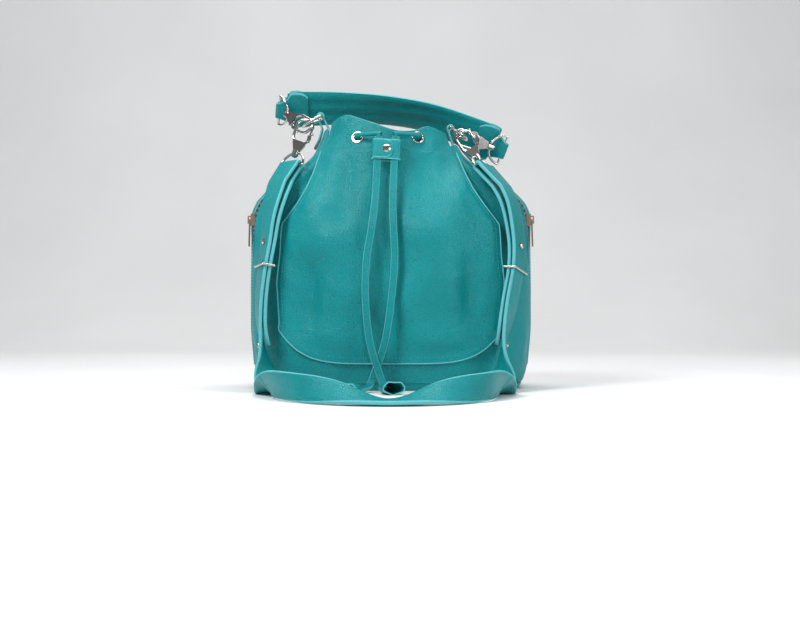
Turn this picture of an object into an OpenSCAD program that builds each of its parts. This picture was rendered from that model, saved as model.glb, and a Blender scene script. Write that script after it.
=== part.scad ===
// Drawstring bucket bag in leather, with a clip-on handle, a clip-on strap and zipped sides.
// Millimetres. The origin is the middle of the base, on the surface it stands on.
// +Z is up, +X is the bag's right as seen from the front, and the front faces -Y.

/* [Body] */
// Width of the base
base_w = 264; // [256:2:272]
// Depth of the base, front to back
base_d = 150; // [144:2:156]
// Thickness of the leather
wall = 2; // [1.6:0.1:2.4]
// Height of the turned-up edge of the base
base_edge = 6; // [5:0.5:7]
// Height of the seam under the collar
collar_z = 238; // [236:1:240]
// Distance from one front eyelet to the other
eyelet_gap = 60; // [54:1:64]

/* [Strap and handle] */
// Width of the strap
strap_w = 25; // [22:1:26]
// Thickness of the strap
strap_t = 3.6; // [3:0.1:4]
// Width of the handle
handle_w = 38; // [34:1:40]
// Thickness of the handle
handle_t = 5; // [4:0.5:6]

/* [Metalwork] */
// Diameter of the D-ring wire
ring_wire = 3; // [2.6:0.1:3.2]
// Diameter of the hook's bow wire
hook_wire = 3.2; // [2.8:0.1:3.4]
// Diameter of the wire of the hooks' own rings
loop_wire = 2.6; // [2.2:0.1:2.8]

/* [Drawstring] */
// Width of the flat lace
lace_w = 7; // [6:0.5:8]
// Thickness of the flat lace
lace_t = 3.6; // [3:0.2:4]

/* [Hidden] */
$fn = 48;

// Colours
leather = [0.0, 0.60, 0.60];
nickel = [0.80, 0.80, 0.82];
cloth = [0.10, 0.30, 0.32];

// A seam's gap between two pieces that meet edge to edge
seam = 0.4;
// Clear distance kept between loose pieces
clear = 0.3;

// Height, and how far each side of the body stands out past half the base there
side_profile = [[0, -2], [18, 6], [60, 10], [175, 10], [190, 6], [207, -12], [225, -42], [245, -61], [262, -67], [300, -70]];
// Height, and how far the front and back stand out past half the base there
front_profile = [[0, -2], [18, 4], [60, 9], [110, 11], [160, 7], [190, -3], [250, -24], [300, -34]];
// Height, and how far the body leans to its left there
lean_profile = [[180, 0], [250, 3], [300, 3]];
$lean = 1;
// Height, and how square the outline is there: 2 is an ellipse
squareness = [[0, 3.6], [60, 3.2], [110, 2.9], [160, 2.4], [200, 2.1], [300, 2.1]];

// Height, and half the width of the front panel there
panel_profile = [[60, 108], [107, 111], [135, 108], [164, 107], [183, 94], [199, 84], [215, 77], [250, 66]];
panel_half = 108;
seam_low = 27;
seam_high = 60;
seam_curve = 5;

// Place across the front, and the height of the collar's wavy top edge there
collar_waves = [[-66, 268], [-50, 276], [-20, 267], [10, 257], [30, 258], [48, 265], [64, 257]];
// Height, and half the width of the collar there
collar_profile = [[238, 65], [250, 60], [276, 54]];
collar_t = 2.6;

// Heights at which the folded sides end, and where the side zips lie
side_top = [264, 247];
zip_y = -24;
zip_low = 26;
zip_top = 188;
tape_half = 5;

function mix(a, b, f) = a + (b - a) * f;
function unit(v) = v / norm(v);
function side_step(v, along) = unit(v - along * (v * along));
function smooth(x, table, reach = 8) =
    (lookup(x - reach, table) + 2 * lookup(x, table) + lookup(x + reach, table)) / 4;
function signed_power(v, p) = sign(v) * pow(abs(v), p);

function half_w(z) = base_w / 2 + smooth(z, side_profile);
function half_d(z) = base_d / 2 + smooth(z, front_profile);
function bend(z) = 2 / smooth(z, squareness);
// Mirrored pieces lean the other way, so that they lean together once they are mirrored
function lean(z) = -$lean * smooth(z, lean_profile);

// A point on the body at a height: turn is 0 at the front, 90 at the right side and 180 at the back
function skin(turn, z, inset = 0) = [
    (half_w(z) - inset) * signed_power(sin(turn), bend(z)) + lean(z),
    -(half_d(z) - inset) * signed_power(cos(turn), bend(z)),
    z
];
function turn_at_x(x, z) =
    let (from_middle = x - lean(z))
    sign(from_middle) * asin(pow(min(1, abs(from_middle) / half_w(z)), 1 / bend(z)));
function turn_at_y(y, z) = acos(signed_power(-y / half_d(z), 1 / bend(z)));

// ---- general solids ----

// A closed shell from two grids of points, the outer one and the inner one behind it
module shell(outer, inner) {
    rows = len(outer);
    cols = len(outer[0]);
    count = rows * cols;
    points = [for (grid = [outer, inner]) for (row = grid) for (p = row) p];
    function at(side, r, c) = side * count + r * cols + c;
    function quad(a, b, c, d) = [[a, b, c], [a, c, d]];
    faces = [
        for (r = [0 : rows - 2]) for (c = [0 : cols - 2])
            each quad(at(0, r, c), at(0, r + 1, c), at(0, r + 1, c + 1), at(0, r, c + 1)),
        for (r = [0 : rows - 2]) for (c = [0 : cols - 2])
            each quad(at(1, r, c), at(1, r, c + 1), at(1, r + 1, c + 1), at(1, r + 1, c)),
        for (c = [0 : cols - 2])
            each quad(at(0, 0, c), at(0, 0, c + 1), at(1, 0, c + 1), at(1, 0, c)),
        for (c = [0 : cols - 2])
            each quad(at(0, rows - 1, c), at(1, rows - 1, c), at(1, rows - 1, c + 1), at(0, rows - 1, c + 1)),
        for (r = [0 : rows - 2])
            each quad(at(0, r, 0), at(1, r, 0), at(1, r + 1, 0), at(0, r + 1, 0)),
        for (r = [0 : rows - 2])
            each quad(at(0, r, cols - 1), at(0, r + 1, cols - 1), at(1, r + 1, cols - 1), at(1, r, cols - 1))
    ];
    polyhedron(points, faces, convexity = 6);
}

// A closed solid through a list of rings of points
module loft(rings, closed = false) {
    sides = len(rings[0]);
    last = len(rings) - 1;
    points = [for (ring = rings) for (p = ring) p];
    function at(r, s) = (r % (last + 1)) * sides + (s % sides);
    faces = [
        for (r = [0 : closed ? last : last - 1]) for (s = [0 : sides - 1])
            each [[at(r, s), at(r, s + 1), at(r + 1, s + 1)], [at(r, s), at(r + 1, s + 1), at(r + 1, s)]],
        if (!closed) for (s = [1 : sides - 2]) [at(0, 0), at(0, s + 1), at(0, s)],
        if (!closed) for (s = [1 : sides - 2]) [at(last, 0), at(last, s), at(last, s + 1)]
    ];
    polyhedron(points, faces, convexity = 6);
}

// A smooth curve through the points of a route, with so many steps from each to the next
function curve_step(p, i, f) =
    let (
        a = p[max(i - 1, 0)],
        b = p[i],
        c = p[i + 1],
        d = p[min(i + 2, len(p) - 1)]
    )
    b + (c - a) * f / 2 + (a - 2.5 * b + 2 * c - d / 2) * f * f + (-a + 3 * b - 3 * c + d) * f * f * f / 2;
function curve(p, steps) = [
    for (i = [0 : len(p) - 2]) for (k = [0 : steps - 1]) curve_step(p, i, k / steps),
    p[len(p) - 1]
];
function tangent(p, i) = unit(p[min(i + 1, len(p) - 1)] - p[max(i - 1, 0)]);
function cut(p, from, to) = [for (i = [from : to]) p[i]];

// Cross-sections, as fractions of half the width and half the thickness
flat_section = [[1, 0.45], [0.93, 1], [-0.93, 1], [-1, 0.45], [-1, -0.45], [-0.93, -1], [0.93, -1], [1, -0.45]];
round_section = [for (a = [0 : 36 : 359]) [cos(a), sin(a)]];

// A strip along a path: wide is the list of half-width vectors, thick the full thickness
module strip(path, wide, thick, section = flat_section) {
    loft([
        for (i = [0 : len(path) - 1])
            let (
                along = tangent(path, i),
                across = side_step(wide[i], along) * norm(wide[i]),
                up = cross(unit(across), along) * thick / 2
            )
            [for (s = section) path[i] + across * s[0] + up * s[1]]
    ]);
}

// Puts children at a place, with their own z along one direction and their own y near another
module place(at, z_dir, y_dir) {
    z = unit(z_dir);
    y = side_step(y_dir, z);
    x = cross(y, z);
    multmatrix([
        [x[0], y[0], z[0], at[0]],
        [x[1], y[1], z[1], at[1]],
        [x[2], y[2], z[2], at[2]],
        [0, 0, 0, 1]
    ]) children();
}

// A wire bent to an arc in the x-z plane, about the origin
module wire_arc(radius, wire, from, angle) {
    rotate([90, 0, 0]) rotate([0, 0, from]) rotate_extrude(angle = angle)
        translate([radius, 0]) circle(d = wire);
}

module rod(from, to, d) {
    place(from, to - from, abs(unit(to - from)[1]) > 0.9 ? [1, 0, 0] : [0, 1, 0])
        cylinder(d = d, h = norm(to - from));
}

module mirrored(left) {
    $lean = left ? -1 : 1;
    mirror([left ? 1 : 0, 0, 0]) children();
}

// ---- leather body ----

function panel_half_at(z) = lookup(z, panel_profile);
function u_seam(x) = mix(seam_low, seam_high, pow(min(1, abs(x) / panel_half), seam_curve));

panel_cols = 22;
panel_rows = 16;

function panel_grid(inset) = [
    for (c = [0 : panel_cols])
        let (f = 2 * c / panel_cols - 1)
        [
            for (r = [0 : panel_rows])
                let (z = mix(u_seam(f * panel_half), collar_z, r / panel_rows))
                skin(turn_at_x(f * panel_half_at(z) + lean(z), z), z, inset)
        ]
];

module front_panel() {
    color(leather) shell(panel_grid(wall), panel_grid(0));
}

module back_panel() {
    color(leather) mirror([0, 1, 0]) shell(panel_grid(wall), panel_grid(0));
}

// The wraps run from the middle seam under the panel, round the corner, and up the side to the zip
wrap_cols = 40;
wrap_rows = 10;
wrap_turn = 0.42;
wrap_low = base_edge + 3.4;

function panel_border(w) =
    w < wrap_turn
    ? let (x = (panel_half + seam) * w / wrap_turn, z = u_seam(x) - seam) [turn_at_x(x, z), z]
    : let (
        f = (w - wrap_turn) / (1 - wrap_turn),
        z = mix(seam_high - seam, collar_z, f),
        x = panel_half_at(z) + seam + lean(z)
    )
    [turn_at_x(x, z), z];
function zip_turn(z, step) = turn_at_y(zip_y + step, min(z, zip_top + 40));
function outer_border(w, step, top, start) =
    w < wrap_turn
    ? [mix(start, zip_turn(wrap_low, step), w / wrap_turn), wrap_low]
    : let (z = mix(wrap_low, top, (w - wrap_turn) / (1 - wrap_turn))) [zip_turn(z, step), z];

function wrap_grid(inset, rear, top) = [
    for (c = [0 : wrap_cols])
        let (
            w = c / wrap_cols,
            near = panel_border(w),
            far = outer_border(w, rear ? tape_half - 1 : 1 - tape_half, top, rear ? 180 : 0),
            edge = rear ? [180 - near[0], near[1]] : near,
            middle = (w < 0.001) ? seam / 2 : 0
        )
        [
            for (r = [0 : wrap_rows])
                let (
                    at = mix(edge, far, r / wrap_rows),
                    p = skin(at[0], at[1], inset)
                )
                [p[0] + middle, p[1], p[2]]
        ]
];

module front_wrap(left) {
    top = side_top[left ? 0 : 1];
    color(leather) mirrored(left) shell(wrap_grid(0, false, top), wrap_grid(wall, false, top));
}

module rear_wrap(left) {
    top = side_top[left ? 0 : 1];
    color(leather) mirrored(left) shell(wrap_grid(wall, true, top), wrap_grid(0, true, top));
}

outline_steps = 64;
function outline(z, inset) = [
    for (i = [0 : outline_steps - 1])
        let (p = skin(i * 360 / outline_steps + 180 / outline_steps, z, inset)) [p[0], p[1]]
];

module base_panel() {
    color(leather) difference() {
        linear_extrude(base_edge) polygon(outline(0, 0));
        translate([0, 0, 2.4]) linear_extrude(base_edge) polygon(outline(0, wall));
    }
}

module base_board() {
    color("dimgray") translate([0, 0, 2.6]) linear_extrude(3) polygon(outline(0, wall + 2));
}

piping_r = 1.4;

module base_piping() {
    z = base_edge + clear + piping_r;
    color(leather) loft([
        for (p = outline(0, 0.6))
            let (out = unit([p[0], p[1] * 2, 0]))
            [for (s = [0 : 45 : 359]) [p[0], p[1], z] + piping_r * (out * cos(s) + [0, 0, sin(s)])]
    ], closed = true);
}

lining_gap = wall + 2.4;
lining_t = 0.8;

module lining() {
    floor_z = base_edge + clear + 2 * piping_r + 0.9;
    heights = [floor_z, 24, 50, 90, 130, 160, 174, 184, 192, 200, 210, 226];
    function loop(z, inset) = [
        for (i = [0 : 47]) skin(-i * 7.5, z, inset)
    ];
    outside = [for (z = heights) loop(z, lining_gap + (z == floor_z ? 1 : 0))];
    inside = [for (i = [len(heights) - 1 : -1 : 0])
        loop(i == 0 ? floor_z + lining_t : heights[i], lining_gap + lining_t + (i == 0 ? 1 : 0))];
    color(cloth) loft(concat(outside, inside));
}

function collar_top(x, waves) = smooth(x, waves, 6);

function collar_grid(inset, waves) = [
    for (c = [0 : 24])
        let (f = 2 * c / 24 - 1, top = collar_top(f * collar_profile[0][1], waves))
        [
            for (r = [0 : 4])
                let (z = mix(collar_z + seam, top, r / 4), x = f * lookup(z, collar_profile))
                skin(turn_at_x(x + lean(z), z), z, inset)
        ]
];

eyelet_z = 250;
eyelet_hole = 3.9;
eyelet_x = [-3 - eyelet_gap / 2, -3 + eyelet_gap / 2];

function eyelet_point(x, up, aside) = skin(turn_at_x(x + aside, eyelet_z + up), eyelet_z + up, collar_t / 2);
// The way out of the collar at a front eyelet
function eyelet_out(x) = unit(cross(
    eyelet_point(x, 0, 5) - eyelet_point(x, 0, -5),
    eyelet_point(x, 5, 0) - eyelet_point(x, -5, 0)
));

// Puts children at each eyelet, with z pointing out of the collar
module at_eyelets(front) {
    for (x = eyelet_x)
        mirror([0, front ? 0 : 1, 0])
            place(eyelet_point(x, 0, 0), eyelet_out(x), [0, 0, 1]) children();
}

module collar(front, waves) {
    color(leather) difference() {
        mirror([0, front ? 0 : 1, 0]) shell(collar_grid(collar_t, waves), collar_grid(0, waves));
        at_eyelets(front) cylinder(r = eyelet_hole + 0.8, h = 20, center = true, $fn = 32);
    }
}

module front_collar() {
    collar(true, collar_waves);
}

back_waves = [[-64, 262], [-40, 268], [0, 262], [40, 264], [64, 256]];

module back_collar() {
    collar(false, back_waves);
}

module eyelet() {
    rim = 1.0;
    stand = collar_t / 2 + rim + 0.35;
    rotate_extrude() translate([eyelet_hole, 0]) {
        translate([0, -stand]) square([0.6, 2 * stand]);
        for (side = [-1, 1])
            translate([rim + 0.5, side * stand]) circle(r = rim, $fn = 24);
    }
}

module eyelets() {
    color(nickel) {
        at_eyelets(true) eyelet();
        at_eyelets(false) eyelet();
    }
}

// ---- side zips ----

module zip_tape(left) {
    rows = 16;
    cols = 2;
    function grid(inset) = [
        for (c = [0 : cols])
            [
                for (r = [0 : rows])
                    let (z = mix(zip_low, zip_top, r / rows))
                    skin(zip_turn(z, mix(-tape_half - 2, tape_half + 2, c / cols)), z, inset)
            ]
    ];
    tape_in = wall + 0.7;
    color(cloth) mirrored(left) shell(grid(tape_in + 0.6), grid(tape_in));
}

tooth_pitch = 5;
tooth_h = 1.8;

function zip_point(z, out) = skin(zip_turn(z, 0), z, -out);

module zip_teeth(left) {
    color(nickel) mirrored(left)
        for (z = [zip_low + 4 : tooth_pitch : zip_top - 2]) {
            p = zip_point(z, -wall);
            q = zip_point(z + 2, -wall);
            place(p, q - p, [0, 1, 0])
                translate([0.1, -2.2, 0]) cube([tooth_h, 4.4, 3]);
        }
}

slider_z = 170;
slider_low = 62;
slider_path = unit(zip_point(slider_z, 0) - zip_point(slider_low, 0));

slider_w = 6.2;
slider_top = 5.8;
arch_half = 4;
arch_h = 3.2;
bar = 1.2;

// A zip slider: its z runs up the zip and its x points out of the bag
module slider_body() {
    difference() {
        translate([1.2, -slider_w / 2, -6]) cube([slider_top - 1.2, slider_w, 12]);
        translate([-1, -2.45, -7]) cube([4.6, 4.9, 14]);
    }
    // Arch that holds the pull
    for (z = [-arch_half, arch_half - bar])
        translate([slider_top - 0.2, -0.7, z]) cube([arch_h + 0.2, 1.4, bar]);
    translate([slider_top + arch_h - bar, -0.7, -arch_half]) cube([bar, 1.4, 2 * arch_half]);
}

module zip_slider(left) {
    color(nickel) mirrored(left)
        place(zip_point(slider_z, -wall), slider_path, [0, 1, 0]) slider_body();
}

pull_pivot = [slider_top + 0.4 + bar / 2, 0, 0];

// The pull: a crossbar under the arch, two side rails and a tab with a hole
module pull_body() {
    translate(pull_pivot) {
        rotate([90, 0, 0]) cylinder(d = bar, h = 5.6, center = true);
        for (side = [-1, 1])
            translate([-bar / 2, side * 2.1 - bar / 2, -arch_half - 2]) cube([bar, bar, arch_half + 2]);
        translate([-bar / 2, -3, -27]) difference() {
            cube([bar, 6, 27 - arch_half - 1]);
            translate([-1, 3, 4]) rotate([0, 90, 0]) cylinder(d = 3, h = 4);
        }
    }
}

module zip_pull(left) {
    color(nickel) mirrored(left)
        place(zip_point(slider_z, -wall), slider_path, [0, 1, 0]) pull_body();
}

// ---- rings and hooks ----

// Middle of each D-ring's straight bar, and the way the ring points from it
ring_bar = [[-72, 0, 277], [61, 0, 265]];
ring_dir = [unit([-0.88, 0, -0.48]), unit([0.84, 0, -0.54])];
ring_half = 12.5;
ring_leg = 8;

// A point on the round end of a D-ring, y along the bar
function ring_point(side, y) =
    ring_bar[side] + ring_dir[side] * (ring_leg + sqrt(ring_half * ring_half - y * y)) + [0, y, 0];

module d_ring(side) {
    color(nickel) place(ring_bar[side], ring_dir[side], cross(ring_dir[side], [0, 1, 0])) {
        rod([-ring_half, 0, 0], [ring_half, 0, 0], ring_wire);
        for (x = [-ring_half, ring_half]) {
            rod([x, 0, 0], [x, 0, ring_leg], ring_wire);
            translate([x, 0, 0]) sphere(d = ring_wire);
        }
        translate([0, 0, ring_leg]) wire_arc(ring_half, ring_wire, 0, 180);
    }
}

bow_r = 8;
bow_low = 18;
bow_high = 30;
bow_top = bow_high + bow_r;
swivel_r = 2;
swivel_gap = 0.05;
collar_h = 5;
ring_reach = 15.5;
bow_grip = ring_wire / 2 + hook_wire / 2 + 3 * clear;

// Each hook: the side it is on, where it grips the D-ring, the way it points and its own ring's bar
// [side, y on the ring, slack in the bow, direction from neck to bow, direction of the bar]
strap_hooks = [
    [0, -9, 0, unit([0.27, 0.42, 0.86]), [-0.77, 0.64, 0]],
    [1, -11, 0, unit([-0.40, 0.58, 0.71]), [0.45, 0.88, 0.1]]
];
handle_hooks = [
    [0, 8, 3, unit([0.62, -0.66, -0.42]), [0.05, -0.4, 0.92]],
    [1, 11, 3, unit([-0.90, -0.36, 0.24]), [0.30, -0.25, 0.88]]
];

function hook_neck(h) = ring_point(h[0], h[1]) - h[3] * (bow_top - bow_grip - h[2]);
function hook_bar(h) = hook_neck(h) - h[3] * (collar_h / 2 + ring_reach);
function hook_flat(h) = side_step([0, 1, 0], h[3]);
function hook_bar_dir(h) = side_step(h[4], h[3]);

gate_pivot = [bow_r, 0, bow_low + 1];

module bow() {
    translate([0, 0, bow_high]) wire_arc(bow_r, hook_wire, 6, 174);
    rod([-bow_r, 0, bow_low - 0.3], [-bow_r, 0, bow_high + 0.3], hook_wire - 0.1);
    translate([0, 0, bow_low]) wire_arc(bow_r, hook_wire, 180, 166);
}

module hook_frame() {
    bow();
    // Flat flared base between the neck and the bow
    rotate([90, 0, 0]) linear_extrude(4.4, center = true)
        polygon([[-3.4, 0.1], [3.4, 0.1], [6.8, 9.5], [6.8, 11.5], [-6.8, 11.5], [-6.8, 9.5]]);
    // Swivel post with its riveted head
    translate([0, 0, -collar_h - 0.3]) cylinder(r = swivel_r, h = collar_h + 1);
    translate([0, 0, -collar_h - 1.6]) cylinder(r = swivel_r + 0.8, h = 1.4);
    // Fork and pin that carry the gate
    for (side = [-1, 1])
        translate([gate_pivot[0], side * 1.85, gate_pivot[2]]) rotate([90, 0, 0])
            cylinder(r = 2, h = 1, center = true);
    translate([gate_pivot[0] - 1.6, -2.35, gate_pivot[2] - 4.2]) cube([3.2, 4.7, 1.7]);
    for (side = [-1, 1])
        translate([gate_pivot[0] - 1.6, side * 1.85 - 0.5, gate_pivot[2] - 4.2]) cube([3.2, 1, 4.2]);
    translate(gate_pivot) rotate([90, 0, 0]) cylinder(r = 0.7, h = 4, center = true);
}

module gate_body() {
    translate(gate_pivot) {
        difference() {
            union() {
                rotate([90, 0, 0]) cylinder(r = 1.9, h = 2.4, center = true);
                cylinder(d = 2.4, h = bow_high - gate_pivot[2] - clear);
            }
            rotate([90, 0, 0]) cylinder(r = 0.75, h = 6, center = true);
        }
        translate([1.6, 0, 5]) sphere(r = 1.5);
    }
}

// The ring under a hook: a collar for the swivel post, and a bow that ends in a straight bar
module hook_ring_body() {
    difference() {
        union() {
            translate([0, 0, -collar_h]) cylinder(r = 3.6, h = collar_h);
            translate([0, 0, -collar_h / 2 - ring_reach]) wire_arc(ring_reach, loop_wire, 0, 180);
        }
        translate([0, 0, -collar_h - 3]) cylinder(r = swivel_r + swivel_gap, h = collar_h + 6);
        translate([0, 0, -collar_h - 3.1]) cylinder(r = swivel_r + 1.2, h = 3);
    }
    translate([0, 0, -collar_h / 2 - ring_reach]) {
        rod([-ring_reach, 0, 0], [ring_reach, 0, 0], loop_wire);
        for (x = [-ring_reach, ring_reach]) translate([x, 0, 0]) sphere(d = loop_wire);
    }
}

module hook(h) {
    color(nickel) place(hook_neck(h), h[3], hook_flat(h)) hook_frame();
}

module gate(h) {
    color(nickel) place(hook_neck(h), h[3], hook_flat(h)) gate_body();
}

module hook_ring(h) {
    color(nickel) place(hook_neck(h), h[3], cross(h[3], hook_bar_dir(h))) hook_ring_body();
}

// Leather loops that hold the D-rings at the tops of the sides
module ring_tab(side) {
    sign_x = side == 0 ? -1 : 1;
    bar = ring_bar[side];
    top = side_top[side];
    loop_r = ring_wire / 2 + clear + 1;
    out_x = function (z) sign_x * (half_w(z) + 2.2) + lean(z);
    in_x = function (z) sign_x * (half_w(z) - wall - 2.2) + lean(z);
    path = concat(
        [for (z = [top - 20, top - 14, top - 8, top + 1]) [out_x(z), 0, z]],
        [for (a = [-30 : 30 : 210]) bar + loop_r * [sign_x * cos(a), 0, sin(a)]],
        [for (z = [top + 1, top - 10, top - 20]) [in_x(z), 0, z]]
    );
    half = [0, side == 0 ? 8 : 5, 0];
    color(leather) strip(path, [for (p = path) half], 2);
}

// ---- strap ----

// Route of the strap, ring to ring: down the left corner, over the surface in front, up the right corner
left_leg = [
    [-113, -45, 207], [-117, -59, 188], [-120, -67, 168], [-122, -71, 146], [-125, -76, 122],
    [-128, -78, 94], [-128, -79, 68], [-125, -81, 45], [-121, -87, 24]
];
floor_part = [
    [-118, -101, 9], [-116, -122, 2.8], [-114, -151, 9.4], [-107, -186, 13.4], [-86, -226, 13.4],
    [-48, -260, 10.6], [0, -273, 3.4], [48, -260, 10.6], [84, -226, 13.4], [99, -186, 13.4],
    [105, -151, 9.4], [107, -122, 2.8], [108, -101, 9]
];
right_leg = [
    [109, -91, 24], [110, -88, 46], [114, -85, 68], [119, -81, 92], [124, -77, 118],
    [126, -71, 142], [124, -65, 166], [120, -60, 186], [114, -53, 201]
];
// Direction across the strap at the same points, from its front edge to its rear edge
left_wide = [
    [-0.70, 0.70, 0], [-0.62, 0.78, 0], [-0.5, 0.86, 0], [-0.42, 0.9, 0], [-0.35, 0.94, 0],
    [-0.3, 0.95, 0], [-0.2, 0.97, 0], [0, 1, 0.1], [0.4, 0.85, 0.3]
];
floor_wide = [
    [0.85, 0.3, 0.2], [1, 0, 0], [0.8, 0, -0.55], [0.25, 0, -0.95], [0, -0.15, -0.98],
    [0, -0.72, -0.66], [0, -1, -0.03], [0, -0.72, -0.66], [0, -0.15, -0.98], [-0.25, 0, -0.95],
    [-0.8, 0, -0.55], [-1, 0, 0], [-0.85, 0.3, 0.2]
];
right_wide = [
    [-0.4, 0.85, 0.3], [0.1, 1, 0.1], [0.35, 0.93, 0], [0.47, 0.88, 0], [0.47, 0.88, 0],
    [0.5, 0.86, 0], [0.5, 0.86, 0], [0.47, 0.88, 0], [0.45, 0.89, 0]
];
// How far the loose end stands off the leg it is folded back on, from the ring down
fold_gap = [9, 7.4, 6, 5, 4.6, 4.6, 4.8, 7];

strap_steps = 2;
strap_route = curve(concat(left_leg, floor_part, right_leg), strap_steps);
strap_wide = [for (w = curve(concat(left_wide, floor_wide, right_wide), strap_steps)) unit(w) * strap_w / 2];
strap_last = len(strap_route) - 1;
left_join = (len(left_leg) + 2) * strap_steps;
right_join = strap_last - left_join;
loop_r = loop_wire / 2 + clear + strap_t / 2;

// The face of the strap that looks towards the bag, at a point of a leg given from the ring down
function inner(side, wide) = unit(side == 0 ? [wide[1], -wide[0], 0] : [-wide[1], wide[0], 0]);
function leg_point(side, i) = side == 0 ? left_leg[i] : right_leg[len(right_leg) - 1 - i];
function leg_wide(side, i) = side == 0 ? left_wide[i] : right_wide[len(right_wide) - 1 - i];
function fold_route(side) = [
    for (i = [0 : len(fold_gap) - 1])
        leg_point(side, i) + fold_gap[i] * inner(side, leg_wide(side, i))
];
function ring_loop(side) =
    let (
        h = strap_hooks[side],
        rough = inner(side, h[4]),
        exact = cross(h[3], hook_bar_dir(h)),
        in = exact * sign(exact * rough)
    )
    [for (a = [-10 : 25 : 190]) hook_bar(h) + loop_r * (sin(a) * h[3] - cos(a) * in)];

// An end piece: its loose end, up to the ring, round it, and down the leg to the join
module strap_end(side) {
    fold = curve(fold_route(side), strap_steps);
    fold_across = curve([for (i = [0 : len(fold_gap) - 1]) leg_wide(side, i)], strap_steps);
    round_bar = ring_loop(side);
    bar_across = hook_bar_dir(strap_hooks[side]);
    leg = [for (i = [0 : left_join]) side == 0 ? strap_route[i] : strap_route[strap_last - i]];
    leg_across = [for (i = [0 : left_join]) side == 0 ? strap_wide[i] : strap_wide[strap_last - i]];
    path = concat(
        [for (i = [len(fold) - 1 : -1 : 0]) fold[i]],
        [for (i = [len(round_bar) - 1 : -1 : 0]) round_bar[i]],
        leg
    );
    across = concat(
        [for (i = [len(fold) - 1 : -1 : 0]) unit(fold_across[i]) * strap_w / 2],
        [for (p = round_bar) bar_across * strap_w / 2],
        leg_across
    );
    color(leather) strip(path, across, strap_t);
}

module strap_middle() {
    path = cut(strap_route, left_join, right_join);
    last = len(path) - 1;
    short = concat([mix(path[0], path[1], 0.08)], cut(path, 1, last - 1), [mix(path[last], path[last - 1], 0.08)]);
    color(leather) strip(short, cut(strap_wide, left_join, right_join), strap_t);
}

// Wire loop that slides on both layers of the strap, at a leg point
module strap_loop(side) {
    i = 4;
    wire = 2.2;
    at = leg_point(side, i) + inner(side, leg_wide(side, i)) * fold_gap[i] / 2;
    along = unit(leg_point(side, i - 1) - leg_point(side, i + 1));
    x = strap_w / 2 + wire / 2 + 0.8;
    y = strap_t / 2 + fold_gap[i] / 2 + wire / 2 + 0.8;
    corners = [[x, y, 0], [-x, y, 0], [-x, -y, 0], [x, -y, 0]];
    color(nickel) place(at, along, inner(side, leg_wide(side, i)))
        for (k = [0 : 3]) {
            rod(corners[k], corners[(k + 1) % 4], wire);
            translate(corners[k]) sphere(d = wire);
        }
}

// Round studs on the outer face of each leg, at points along it
module strap_studs() {
    color(nickel) for (side = [0, 1], i = [3, 7]) {
        along = leg_point(side, i - 1) - leg_point(side, i + 1);
        face = unit(cross(leg_wide(side, i), along));
        out = -face * sign(face * inner(side, leg_wide(side, i)));
        place(leg_point(side, i) + out * (strap_t / 2 + 0.6), out, [0, 0, 1]) {
            cylinder(d = 6, h = 0.8);
            translate([0, 0, 0.8]) cylinder(r1 = 3, r2 = 1.6, h = 1.2);
        }
    }
}

// ---- handle ----

handle_path = curve([
    hook_bar(handle_hooks[0]) + [9, 1, 1], [-88, 43, 291], [-50, 46, 292], [-5, 47, 290],
    [42, 43, 281], [90, 33, 261], hook_bar(handle_hooks[1]) + [-9, 5, 6]
], 4);
handle_wide = [
    for (w = curve([
        hook_bar_dir(handle_hooks[0]), [0.05, -0.45, 0.9], [0.05, -0.6, 0.8], [0.05, -0.7, 0.7],
        [0.1, -0.7, 0.7], [0.28, -0.5, 0.8], hook_bar_dir(handle_hooks[1])
    ], 4)) unit(w) * handle_w / 2
];
handle_last = len(handle_path) - 1;
tab_t = 2;
tab_len = 4;

module handle() {
    color(leather) strip(handle_path, handle_wide, handle_t);
}

// Leather end piece: over one face of the handle's end, round the ring's bar and back over the other
module handle_tab(side) {
    h = handle_hooks[side];
    bar_dir = hook_bar_dir(h);
    ids = [for (i = [0 : tab_len]) side == 0 ? i : handle_last - i];
    stand = handle_t / 2 + tab_t / 2 + 2 * clear;
    into = function (i) tangent(handle_path, i) * (side == 0 ? 1 : -1);
    face = function (i) unit(cross(into(i), handle_wide[i]));
    along = side_step(into(ids[0]), bar_dir);
    up = cross(along, bar_dir) * sign(cross(along, bar_dir) * face(ids[0]));
    turn_r = loop_wire / 2 + 2 * clear + tab_t / 2;
    widths = [for (i = ids) unit(handle_wide[i]) * (handle_w / 2 - (i == ids[0] ? 6 : 0))];
    round_bar = [for (a = [80 : -32 : -80]) hook_bar(h) + turn_r * (up * sin(a) - along * cos(a))];
    path = concat(
        [for (k = [tab_len : -1 : 0]) handle_path[ids[k]] + face(ids[k]) * stand],
        round_bar,
        [for (k = [0 : tab_len]) handle_path[ids[k]] - face(ids[k]) * stand]
    );
    wide = concat(
        [for (k = [tab_len : -1 : 0]) widths[k]],
        [for (p = round_bar) bar_dir * (handle_w / 2 - 10.5)],
        widths
    );
    color(leather) strip(path, wide, tab_t);
}

// ---- drawstring ----

// Height and front distance of the laces where the slide holds them
slide_at = [-4, -69, 236];
slide_axis = unit([0.05, 0.32, 1]);
lace_step = 8.5;
slide_h = 21;

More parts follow.
